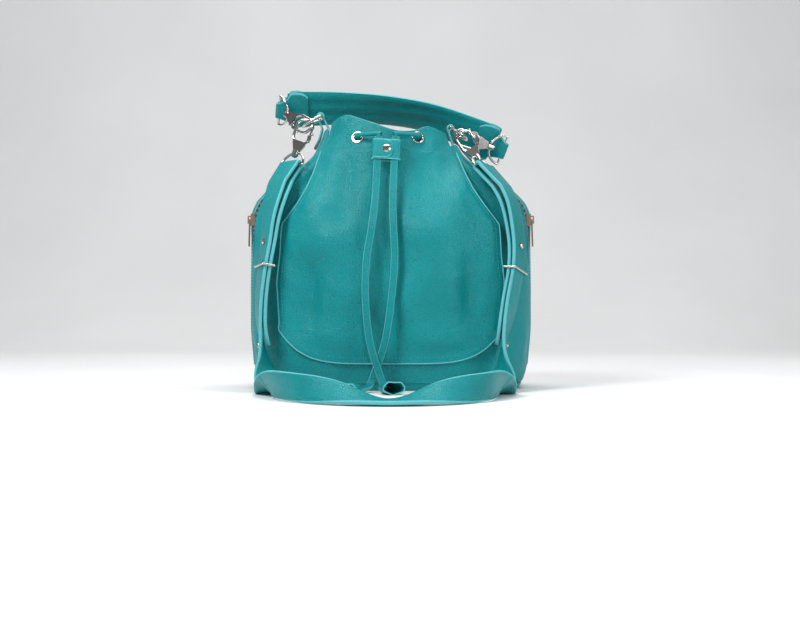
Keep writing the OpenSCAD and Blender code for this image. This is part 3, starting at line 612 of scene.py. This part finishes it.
def build_base():
    """The base, a shallow tray of leather with a rolled lower edge, and its piping."""
    levels = [(0.0, 8), (0.0, 3.0), (0.5, 1.2), (1.8, 0.2), (BASE_EDGE, 0), (BASE_EDGE + 0.6, 0.8),
              (BASE_EDGE, 1.8), (3.0, 2.2), (2.4, 6)]
    rings = [[Vector((p.x, p.y, z)) for p in ring_of(0 if z < 3 else z, inset)] for z, inset in levels]
    points = [p for ring in rings for p in ring]
    steps = len(rings[0])
    faces = []
    for r in range(len(rings) - 1):
        for s in range(steps):
            t = (s + 1) % steps
            faces.append([r * steps + s, r * steps + t, (r + 1) * steps + t, (r + 1) * steps + s])
    faces.append(list(range(steps - 1, -1, -1)))
    faces.append([(len(rings) - 1) * steps + s for s in range(steps)])
    add_mesh("base_leather", points, faces, "bag", [LEATHER], ["base_panel"])
    centre = BASE_EDGE + 1.7
    path = ring_of(0, 0.2)
    rings = []
    for k, p in enumerate(path):
        along = (path[(k + 1) % len(path)] - path[k - 1]).normalized()
        out = along.cross(Vector((0, 0, 1)))
        rings.append([Vector((p.x, p.y, centre)) + 1.5 * (out * math.cos(a) + Vector((0, 0, math.sin(a))))
                      for a in [math.radians(45 * j) for j in range(8)]])
    points, faces, indices = loft_mesh(rings, [False] * 8, closed=True)
    add_mesh("base_piping_leather", points, faces, "bag", [SMOOTH_LEATHER], ["base_piping"],
             indices)


LINING_INSET = 14    # keeps the lining behind the front's deepest hollows


def build_lining():
    heights = [10, 16, 30, 50, 80, 110, 140, 165, 185, 200, 212, 224, 232, 238, 244, 250, 256]
    grid = []
    steps = 120
    for k in range(steps + 1):
        turn = 360 * (k % steps) / steps
        column = []
        for z in heights:
            p = skin(turn, z)
            upper = ease(150, 215, z) * (0.4 + 0.6 * abs(math.sin(math.radians(turn))) ** 4)
            out = -LINING_INSET - 4 * upper + rumple(p, 20, 1.2)
            column.append(skin(turn, z, out))
        grid.append(column)
    for column in grid:
        floor = column[0]
        column.insert(0, Vector((floor.x * 0.5, floor.y * 0.5, 9.6)))
        column.insert(0, Vector((0, 0, 9.4)))
    sheet_piece("lining_cloth", grid, 0.7, "bag", ["lining"], [LINING, LINING], wrap=True)


EYELET_Z, EYELET_GAP = 250, 60
EYELET_X = (-3 - EYELET_GAP / 2, -3 + EYELET_GAP / 2)
EYELET_HOLE = 4.6
COLLAR_HALF = 65
COLLAR_STITCH_ROWS = (6, 36)


def collar_grid(sign, waves, cols=150, rows=40):
    grid = []
    for c in range(cols + 1):
        f = 2 * c / cols - 1
        top = smooth(f * COLLAR_HALF, waves, 6)
        column = []
        for r in range(rows + 1):
            z = mix(COLLAR_Z - 2, top, r / rows)
            x = f * lookup(z, COLLAR_PROFILE)
            turn = turn_at_x(x + lean(z), z)
            p = skin(turn, z)
            g = r / rows
            near_eyelet = sum(bell((p - Vector((ex, p.y, EYELET_Z))).length, 0, 10) for ex in EYELET_X)
            swell = 2.4 * math.sin(x / 9.5 + 0.6) * ease(0.35, 1, g) + 1.2 * math.sin(x / 5) * (1 - g)
            swell += rumple(p, 14, 1.0)
            out = swell * (1 - clamp01(near_eyelet)) * ease(0, 0.2, 1 - abs(f))
            out = out + 0.6 + 1.6 * g * bell(f, 0, 0.8)
            q = skin(turn, z, out)
            column.append(Vector((q.x, q.y if sign < 0 else -q.y, q.z)))
        grid.append(column)
    return grid


def clear_of_eyelets(p):
    return all((Vector((p.x, p.z)) - Vector((x, EYELET_Z))).length > EYELET_HOLE for x in EYELET_X)


def build_collar():
    front = collar_grid(-1, COLLAR_WAVES)
    back = collar_grid(1, BACK_WAVES)
    sheet_piece("front_collar_leather", front, 2.6, "bag", ["front_collar"], keep=clear_of_eyelets)
    sheet_piece("back_collar_leather", back[::-1], 2.6, "bag", ["back_collar"], keep=clear_of_eyelets)
    lines = []
    for grid, sign in ((front, -1), (back, 1)):
        for row in COLLAR_STITCH_ROWS:
            n = grid_normals(grid)
            line = []
            for c in range(4, len(grid) - 4):
                out = Vector(n[c, row]) * (1 if sign < 0 else -1)
                line.append((grid[c][row], out))
            lines.append(line)
    stitch_piece("collar_stitching", lines, "bag", pitch=3.0)


build_body()
build_base()
build_lining()
build_collar()

# ---- seams, side zips and ring tabs ----


def build_seams():
    lines = []
    for sign in (-1, 1):
        grid = panel_grid(sign)
        cols, rows = len(grid), len(grid[0])

        def lifted(c, r):
            p = grid[c][r]
            turn = turn_at_x(p.x, p.z)
            n = (skin(turn, p.z, 5) - skin(turn, p.z)).normalized()
            return p, Vector((n.x, n.y if sign < 0 else -n.y, n.z))
        lines.append([lifted(c, 3) for c in range(2, cols - 2)])
        for c in (2, cols - 3):
            lines.append([lifted(c, r) for r in range(3, rows - 2)])
    stitch_piece("panel_stitching", lines, "bag", pitch=3.6)
    lines = []
    for mirror in (1, -1):
        for step in (-ZIP_HALF - 2.2, ZIP_HALF + 2.2):
            line = surface_line([(zip_turn(z, step), z) for z in range(22, ZIP_TOP + 4, 3)], 0.5)
            lines.append([(Vector((p.x * mirror, p.y, p.z)), Vector((n.x * mirror, n.y, n.z)))
                          for p, n in line])
    stitch_piece("zip_stitching", lines, "bag", pitch=3.2)


def build_panel_edges():
    """The pale raw edge that shows all round each panel."""
    for sign, name in ((-1, "front"), (1, "back")):
        grid = panel_grid(sign)
        last = len(grid) - 1
        route = grid[0][:0:-3] + [column[0] for column in grid] + grid[last][1::3]
        rings = []
        for i, p in enumerate(route):
            along = tangent(route, i)
            out = Vector((p.x * 0.3, sign * abs(p.y), 0)).normalized()
            out = side_step(out, along)
            side = along.cross(out)
            rings.append([p + out * (0.25 + 0.75 * math.cos(math.radians(a)))
                          + side * (0.75 * math.sin(math.radians(a))) for a in range(0, 360, 60)])
        points, faces, indices = loft_mesh(rings, [False] * 6)
        add_mesh(f"{name}_panel_raw_edge", points, faces, "bag", [CUT_EDGE, CUT_EDGE])


def build_tapes():
    for mirror, side in ((-1, "left"), (1, "right")):
        grid = []
        for c in range(9):
            column = []
            for r in range(60):
                z = mix(26, ZIP_TOP, r / 59)
                p = skin(turn_at_y(ZIP_Y + mix(-7, 7, c / 8), z), z, -WALL - 0.7)
                column.append(Vector((p.x * mirror, p.y, p.z)))
            grid.append(column)
        if mirror < 0:
            grid = grid[::-1]
        sheet_piece(f"zip_tape_cloth_{side}", grid, 0.6, "bag", [f"zip_tape_{side}"], [TAPE, TAPE])


RING_BARS = (Vector((-72, 0, 277)), Vector((61, 0, 265)))
RING_DIRS = (Vector((-0.88, 0, -0.48)).normalized(), Vector((0.84, 0, -0.54)).normalized())
RING_WIRE, RING_HALF, RING_LEG = 3.0, 12.5, 8
RING_TAB_HALF = (8, 5)


def build_ring_tabs():
    for i, side in enumerate(SIDES):
        sign = -1 if i == 0 else 1
        bar, top = RING_BARS[i], SIDE_TOP[i]
        reach = RING_WIRE / 2 + 1.5
        path = [Vector((sign * (half_w(z) + 2.4) + lean(z), 0, z)) for z in range(top - 20, top + 2, 3)]
        path += [bar + Vector((sign * math.cos(math.radians(a)), 0, math.sin(math.radians(a)))) * reach
                 for a in range(-30, 211, 15)]
        path += [Vector((sign * (half_w(z) - WALL - 2.2) + lean(z), 0, z))
                 for z in range(top + 1, top - 21, -4)]
        strip_piece(f"ring_tab_leather_{side}", path, [Vector((0, 1, 0))] * len(path),
                    2 * RING_TAB_HALF[i], 2.0, "bag", [f"ring_tab_{side}"], crown=0.1)


build_seams()
build_panel_edges()
build_tapes()
build_ring_tabs()

# ---- hooks' places, as in the CAD model ----

HOOK_REACH = 38 - (RING_WIRE / 2 + 3.2 / 2 + 0.9)    # from a hook's neck to the D-ring's wire
LOOP_WIRE = 2.6
BAR_DROP = 5 / 2 + 15.5                              # from a hook's neck to its own ring's bar
# Each hook: place along the D-ring, slack, direction from neck to bow, direction of its ring's bar
STRAP_HOOKS = ((-9, 0, Vector((0.27, 0.42, 0.86)), Vector((-0.77, 0.64, 0))),
               (-11, 0, Vector((-0.40, 0.58, 0.71)), Vector((0.45, 0.88, 0.1))))
HANDLE_HOOKS = ((8, 3, Vector((0.62, -0.66, -0.42)), Vector((0.05, -0.4, 0.92))),
                (11, 3, Vector((-0.90, -0.36, 0.24)), Vector((0.30, -0.25, 0.88))))


def hook_bar(hooks, i):
    y, slack, way, _ = hooks[i]
    way = way.normalized()
    on_ring = RING_BARS[i] + RING_DIRS[i] * (RING_LEG + math.sqrt(RING_HALF ** 2 - y * y))
    on_ring = on_ring + Vector((0, y, 0))
    return on_ring - way * (HOOK_REACH - slack + BAR_DROP)


def hook_bar_dir(hooks, i):
    return side_step(hooks[i][3], hooks[i][2].normalized())


# ---- strap ----

LEFT_LEG = [(-113, -45, 207), (-117, -59, 188), (-120, -67, 168), (-122, -71, 146), (-125, -76, 122),
            (-128, -78, 94), (-128, -79, 68), (-125, -81, 45), (-121, -87, 24)]
FLOOR_PART = [(-118, -101, 9), (-116, -122, 2.8), (-114, -151, 9.4), (-107, -186, 13.4), (-86, -226, 13.4),
              (-48, -260, 10.6), (0, -273, 3.4), (48, -260, 10.6), (84, -226, 13.4), (99, -186, 13.4),
              (105, -151, 9.4), (107, -122, 2.8), (108, -101, 9)]
RIGHT_LEG = [(109, -91, 24), (110, -88, 46), (114, -85, 68), (119, -81, 92), (124, -77, 118),
             (126, -71, 142), (124, -65, 166), (120, -60, 186), (114, -53, 201)]
LEFT_WIDE = [(-0.70, 0.70, 0), (-0.62, 0.78, 0), (-0.5, 0.86, 0), (-0.42, 0.9, 0), (-0.35, 0.94, 0),
             (-0.3, 0.95, 0), (-0.2, 0.97, 0), (0, 1, 0.1), (0.4, 0.85, 0.3)]
FLOOR_WIDE = [(0.85, 0.3, 0.2), (1, 0, 0), (0.8, 0, -0.55), (0.25, 0, -0.95), (0, -0.15, -0.98),
              (0, -0.72, -0.66), (0, -1, -0.03), (0, -0.72, -0.66), (0, -0.15, -0.98), (-0.25, 0, -0.95),
              (-0.8, 0, -0.55), (-1, 0, 0), (-0.85, 0.3, 0.2)]
RIGHT_WIDE = [(-0.4, 0.85, 0.3), (0.1, 1, 0.1), (0.35, 0.93, 0), (0.47, 0.88, 0), (0.47, 0.88, 0),
              (0.5, 0.86, 0), (0.5, 0.86, 0), (0.47, 0.88, 0), (0.45, 0.89, 0)]
FOLD_GAP = (9, 7.4, 6, 5, 4.6, 4.6, 4.8, 7)
STRAP_W, STRAP_T = 25, 3.6
STRAP_CROWN = 0.12
STRAP_STEPS, FOLD_STEPS = 8, 6      # points between two of the places listed above
FOLD_TAPER = 7                      # points over which a folded end rounds off
JOIN_SPAN, JOIN_W, JOIN_T = 3, 0.5, 1.4    # points either way, added width and thickness


def inward(i, wide):
    v = Vector((wide[1], -wide[0], 0)).normalized()
    return v if i == 0 else -v


def bar_arc(i, angles):
    """The strap's way over its ring's bar: 90 is the top, 0 the side away from the bag."""
    way = STRAP_HOOKS[i][2].normalized()
    inner = way.cross(hook_bar_dir(STRAP_HOOKS, i))
    if inner.dot(inward(i, STRAP_HOOKS[i][3])) < 0:
        inner = -inner
    reach = LOOP_WIRE / 2 + 0.3 + STRAP_T / 2
    return [hook_bar(STRAP_HOOKS, i)
            + reach * (way * math.sin(math.radians(a)) - inner * math.cos(math.radians(a))) for a in angles]


def build_strap():
    points = LEFT_LEG + FLOOR_PART + RIGHT_LEG
    wide = LEFT_WIDE + FLOOR_WIDE + RIGHT_WIDE
    legs = curve(points, STRAP_STEPS)
    across = [w.normalized() for w in curve(wide, STRAP_STEPS)]
    arcs = [bar_arc(i, range(90, -11, -20)) for i in (0, 1)]
    bars = [hook_bar_dir(STRAP_HOOKS, i) for i in (0, 1)]
    bars = [b if b.dot(end) > 0 else -b for b, end in zip(bars, (across[0], across[-1]))]
    path = arcs[0] + legs + arcs[1][::-1]
    ways = [bars[0]] * len(arcs[0]) + across + [bars[1]] * len(arcs[1])
    strap = strip_piece("strap_leather", path, ways, STRAP_W, STRAP_T, "strap",
                        ["strap_left", "strap_middle", "strap_right"], crown=STRAP_CROWN)
    for i, side in enumerate(SIDES):
        leg = LEFT_LEG if i == 0 else RIGHT_LEG[::-1]
        leg_wide = LEFT_WIDE if i == 0 else RIGHT_WIDE[::-1]
        rough = [Vector(leg[k]) + inward(i, leg_wide[k]) * gap for k, gap in enumerate(FOLD_GAP)]
        fold = curve(rough, FOLD_STEPS)
        turned = [w.normalized() for w in curve(leg_wide[:len(FOLD_GAP)], FOLD_STEPS)]
        arc = bar_arc(i, range(110, 191, 20))
        route = fold[::-1] + arc[::-1]
        fold_ways = turned[::-1] + [bars[i]] * len(arc)
        widths = [STRAP_W * min(1, math.sqrt(max(0.1, 1 - ((FOLD_TAPER - k) / FOLD_TAPER) ** 2)))
                  if k < FOLD_TAPER else STRAP_W for k in range(len(route))]
        strip_piece(f"strap_fold_{side}", route, fold_ways, widths, STRAP_T, "strap",
                                 crown=STRAP_CROWN)
    # The end pieces overlap the middle one a little past the point where each leg meets the floor
    join = len(arcs[0]) + (len(LEFT_LEG) + 2) * STRAP_STEPS
    for side, middle in zip(SIDES, (join, len(path) - 1 - join)):
        span = slice(middle - JOIN_SPAN, middle + JOIN_SPAN + 1)
        strip_piece(f"strap_join_{side}", path[span], ways[span], STRAP_W + JOIN_W,
                                 STRAP_T + JOIN_T, "strap", crown=STRAP_CROWN)


# ---- handle ----

HANDLE_W, HANDLE_T, TAB_T = 38, 5, 2
TAB_LOOP_W = HANDLE_W - 21    # where an end tab goes round its ring's bar


def handle_route(steps):
    bars = [hook_bar(HANDLE_HOOKS, i) for i in (0, 1)]
    points = [bars[0] + Vector((9, 1, 1)), (-88, 43, 291), (-50, 46, 292), (-5, 47, 290), (42, 43, 281),
              (90, 33, 261), bars[1] + Vector((-9, 5, 6))]
    wide = [hook_bar_dir(HANDLE_HOOKS, 0), (0.05, -0.45, 0.9), (0.05, -0.6, 0.8), (0.05, -0.7, 0.7),
            (0.1, -0.7, 0.7), (0.28, -0.5, 0.8), hook_bar_dir(HANDLE_HOOKS, 1)]
    return curve(points, steps), [w.normalized() for w in curve(wide, steps)]


def build_handle():
    path, ways = handle_route(16)
    last = len(path) - 1
    sides = 22
    rings = []
    for i, p in enumerate(path):
        along = tangent(path, i)
        wide = side_step(ways[i], along)
        up = wide.cross(along)
        half = HANDLE_W / 2 - 1.4 * bell(i, 0, 4) - 1.4 * bell(i, last, 4)
        ring = []
        for side in (1, -1):
            for k in range(sides + 1):
                f = side * (1 - 2 * k / sides)
                body = math.sqrt(max(0, 1 - abs(f) ** 5))
                crease = 0.5 * math.sin(f * 9 + 1.5 * math.sin(i / 19)) if side < 0 else 0
                crease += rumple(p + wide * (f * half), 9, 0.5)
                ends = min(1, i / 8, (last - i) / 8)
                ring.append(p + wide * (f * half) + up * side * (HANDLE_T / 2 * (0.35 + 0.65 * body)
                                                                + crease * body * ends * 0.8))
        rings.append(ring)
    pale = [k in (sides, 2 * sides + 1) for k in range(2 * sides + 2)]
    points, faces, indices = loft_mesh(rings, pale)
    add_mesh("handle_leather", points, faces, "handle", [LEATHER, CUT_EDGE], ["handle"], indices)
    lines = []
    for edge in (0.86, -0.86):
        line = []
        for i in range(10, last - 9):
            along = tangent(path, i)
            wide = side_step(ways[i], along)
            up = wide.cross(along)
            line.append((path[i] + wide * (edge * HANDLE_W / 2) + up * (HANDLE_T / 2 * 0.84), up))
        lines.append(line)
    stitch_piece("handle_stitching", lines, "handle", pitch=3.8)
    tab_run = 14
    for i, side in enumerate(SIDES):
        ids = [k if i == 0 else last - k for k in range(0, tab_run + 3, 2)]
        sign = 1 if i == 0 else -1
        bar_dir = hook_bar_dir(HANDLE_HOOKS, i)
        stand = HANDLE_T / 2 + TAB_T / 2 + 0.6

        def face(k):
            return (tangent(path, k) * sign).cross(ways[k]).normalized()
        along = side_step(tangent(path, ids[0]) * sign, bar_dir)
        up = along.cross(bar_dir)
        if up.dot(face(ids[0])) < 0:
            up = -up
        reach = LOOP_WIRE / 2 + 0.6 + TAB_T / 2
        bar = hook_bar(HANDLE_HOOKS, i)
        arc = [bar + reach * (up * math.sin(math.radians(a)) - along * math.cos(math.radians(a)))
               for a in range(80, -81, -16)]
        over = [path[k] + face(k) * stand for k in ids]
        under = [path[k] - face(k) * stand for k in ids]
        route = over[::-1] + arc + under
        turned = [ways[k] for k in ids]
        full = [HANDLE_W * (1 - 0.32 * bell(n, 0, 1.2)) * math.sqrt(clamp01(1.04 - (n / len(ids)) ** 6))
                for n in range(len(ids))]
        widths = full[::-1] + [TAB_LOOP_W] * len(arc) + full
        strip_piece(f"handle_tab_leather_{side}", route, turned[::-1] + [bar_dir] * len(arc) + turned,
                    widths, TAB_T, "handle", [f"handle_tab_{side}"], crown=0.2)


# ---- drawstring ----

SLIDE_AT = Vector((-4, -69, 236))
SLIDE_AXIS = Vector((0.05, 0.32, 1)).normalized()
LACE_STEP, SLIDE_H = 8.5, 21
LACE_W, LACE_T = 7, 3.6


def slide_point(side, up):
    return SLIDE_AT + Vector((side * LACE_STEP, 0, 0)) + SLIDE_AXIS * up


TAILS = {
    "left": [slide_point(-1, SLIDE_H / 2 + 4), slide_point(-1, -48), (-18, -93, 160), (-23, -95, 128),
             (-24, -96, 90), (-20, -97, 50), (-12, -98, 22), (-7, -101, 8), (-5, -110, 2.8)],
    "right": [slide_point(1, SLIDE_H / 2 + 4), slide_point(1, -48), (3, -92, 160), (4, -94, 128),
              (1, -95, 90), (-5, -95, 50), (-14, -93, 22), (-20, -97, 7), (-28, -112, 2.8),
              (-34, -134, 2.8)]
}
# Tassels: the tail each one ends, its direction along the floor, length and widths at top and bottom
TASSELS = {
    "left": ("right", Vector((-0.25, -1, 0)).normalized(), 34, 15, 24),
    "right": ("left", Vector((0.3, -1, 0)).normalized(), 31, 13, 20)
}


def build_tassel(side):
    tail, way, length, top, bottom = TASSELS[side]
    start = Vector(TAILS[tail][-1])
    across = way.cross(Vector((0, 0, 1)))
    grid = []
    for k in range(49):
        a = 2 * math.pi * (k % 48) / 48
        column = []
        for r in range(22):
            f = r / 21
            shoulder = math.sqrt(clamp01(0.06 + f / 0.16))
            half = mix(top, bottom, f) / 2 * shoulder
            deep = mix(5.2, 6.4, f)
            fold = 1 - (0.10 + 0.16 * f) * abs(math.sin(2.5 * a + 0.6)) ** 0.7
            centre = start + way * (length * f)
            p = Vector((centre.x, centre.y, deep + 0.3))
            p += across * (half * math.cos(a) * (0.9 + 0.1 * fold))
            p += Vector((0, 0, deep * shoulder * fold * math.sin(a)))
            p.z = max(p.z, 0.35)
            column.append(p)
        grid.append(column)
    return sheet_piece(f"tassel_leather_{side}", grid, 1.2, "bag", [f"tassel_{side}"])


def build_laces():
    tassels = {TASSELS[side][0]: build_tassel(side) for side in SIDES}
    for side in SIDES:
        path = curve(TAILS[side], 12)
        ways = [Vector((1, 0, 0))] * len(path)
        tail = strip_piece(f"lace_tail_leather_{side}", path, ways, LACE_W, LACE_T, "bag",
                           [f"lace_tail_{side}"], crown=0.05, rounded=0.16)


def eyelet_place(x):
    def at(up, aside):
        return skin(turn_at_x(x + aside, EYELET_Z + up), EYELET_Z + up, -1.3)
    out = (at(0, 5) - at(0, -5)).cross(at(5, 0) - at(-5, 0)).normalized()
    return at(0, 0), out


def mouth_half(start, x, side):
    hole, out = eyelet_place(x)
    back, back_out = Vector((hole.x, -hole.y, hole.z)), Vector((out.x, -out.y, out.z))
    return [start, start + SLIDE_AXIS * 3, hole + out * 9 - Vector((side * 3, 0, 0)), hole + out * 4,
            hole - out * 4, (side * 50 - 3, -24, EYELET_Z), (side * 57 - 3, 0, EYELET_Z),
            (side * 50 - 3, 24, EYELET_Z), back - back_out * 4, back + back_out * 4,
            back + back_out * 8 - Vector((side * 4, 0, 0)), (-3, half_d(EYELET_Z) + 7, EYELET_Z)]


def build_drawstring():
    halves = [mouth_half(slide_point(sign, SLIDE_H / 2 + 4.2), x, sign)
              for sign, x in zip((-1, 1), EYELET_X)]
    path = curve(halves[0] + halves[1][-2::-1], 8)
    radius = 2.2
    rings = []
    for i, p in enumerate(path):
        along = tangent(path, i)
        up = side_step(Vector((0, 1, 0)) if abs(along.z) > 0.9 else Vector((0, 0, 1)), along)
        side = along.cross(up)
        rings.append([p + radius * (up * math.cos(math.radians(a)) - side * math.sin(math.radians(a)))
                      for a in range(0, 360, 36)])
    points, faces, indices = loft_mesh(rings, [False] * 10)
    lace = add_mesh("drawstring_leather", points, faces, "bag", [SMOOTH_LEATHER, CUT_EDGE],
                    ["drawstring"], indices)


def build_cord_slide():
    """A leather band round both laces, and the end that is riveted over its front."""
    back = Vector((0, 1, 0))
    deep = side_step(back, SLIDE_AXIS)
    side = deep.cross(SLIDE_AXIS)
    half_x, half_y = 13.5, 3.3
    path = []
    for k in range(49):
        a = 2 * math.pi * k / 48
        reach = Vector((signed_power(math.cos(a), 0.45) * half_x, signed_power(math.sin(a), 0.8) * half_y, 0))
        path.append(SLIDE_AT + side * reach.x + deep * reach.y)
    strip_piece("cord_slide_leather", path, [SLIDE_AXIS] * len(path), SLIDE_H, 1.8, "cord_slide",
                ["cord_slide"])
    route = [SLIDE_AT + side * x - deep * (4.75 - 0.02 * max(0, -x - 9) ** 2) for x in range(-13, 8)]
    widths = [SLIDE_H * 0.94 * math.sqrt(clamp01(1.02 - (k / 20) ** 5)) for k in range(len(route))]
    strip_piece("cord_slide_tab", route, [SLIDE_AXIS] * len(route), widths, 1.1, "cord_slide")


build_strap()
build_handle()
build_laces()
build_drawstring()
build_cord_slide()

# ---- finish of the CAD metalwork, which keeps its own meshes ----


def paint_metal():
    for name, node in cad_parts.items():
        if name.startswith("zip_") and "tape" not in name:
            material = ZIP_METAL
        elif name == "base_board":
            material = BOARD
        else:
            material = NICKEL
        for slot in node.material_slots:
            slot.material = material


paint_metal()

# ---- floor and light ----


def add_floor():
    rows = [(-4.0, 0.0), (1.0, 0.0)]
    rows += [(1.0 + 0.8 * math.sin(math.radians(a)), 0.8 - 0.8 * math.cos(math.radians(a)))
             for a in range(5, 91, 5)]
    rows.append((1.8, 3.0))
    points = [(x, y, z) for y, z in rows for x in (-4, 4)]
    faces = [(2 * k, 2 * k + 1, 2 * k + 3, 2 * k + 2) for k in range(len(rows) - 1)]
    mesh = bpy.data.meshes.new("backdrop")
    mesh.from_pydata(points, [], faces)
    mesh.polygons.foreach_set("use_smooth", [True] * len(faces))
    material, nodes, links = new_material("paper_backdrop")
    shader = nodes["Principled BSDF"]
    coords = nodes.new("ShaderNodeTexCoord").outputs["Object"]
    mottle = add_node(nodes, "TexNoise", Scale=3.0, Detail=3.0)
    links.new(coords, mottle.inputs["Vector"])
    links.new(ramp(nodes, links, mottle.outputs["Fac"], [(0.3, grey(0.78)), (0.7, grey(0.83))]),
              shader.inputs["Base Color"])
    shader.inputs["Roughness"].default_value = 0.75
    mesh.materials.append(material)
    backdrop = bpy.data.objects.new("backdrop", mesh)
    bpy.context.scene.collection.objects.link(backdrop)


MIDDLE = (0, 0, 0.14)
# Each light: name, place, what it faces, size and watts; lengths in metres
LIGHTS = (("key", (-0.75, -0.9, 1.15), MIDDLE, (0.45, 0.5), 17),
          ("fill", (1.2, -0.8, 0.6), MIDDLE, (0.5, 0.8), 7),
          ("front", (0.2, -1.5, 0.85), MIDDLE, (0.2, 0.2), 3.2),
          ("top", (0.1, 0.25, 1.4), MIDDLE, (0.9, 0.6), 9),
          ("backdrop_wash", (0.0, 0.2, 2.4), (0, 1.7, 0.6), (2.5, 0.6), 19))
WORLD_COLOUR, WORLD_STRENGTH = (0.93, 0.95, 1.0, 1), 0.17


def add_light(name, place, target, size, watts):
    data = bpy.data.lights.new(name, "AREA")
    data.shape = "RECTANGLE"
    data.size, data.size_y = size
    data.energy = watts
    light = bpy.data.objects.new(name, data)
    light.location = place
    light.rotation_euler = (Vector(target) - Vector(place)).to_track_quat("-Z", "Y").to_euler()
    bpy.context.scene.collection.objects.link(light)


def add_lights():
    for light in LIGHTS:
        add_light(*light)
    world = bpy.data.worlds.new("studio")
    world.use_nodes = True
    world.node_tree.nodes["Background"].inputs["Color"].default_value = WORLD_COLOUR
    world.node_tree.nodes["Background"].inputs["Strength"].default_value = WORLD_STRENGTH
    bpy.context.scene.world = world
    bpy.context.scene.view_settings.view_transform = "Standard"


add_floor()
add_lights()
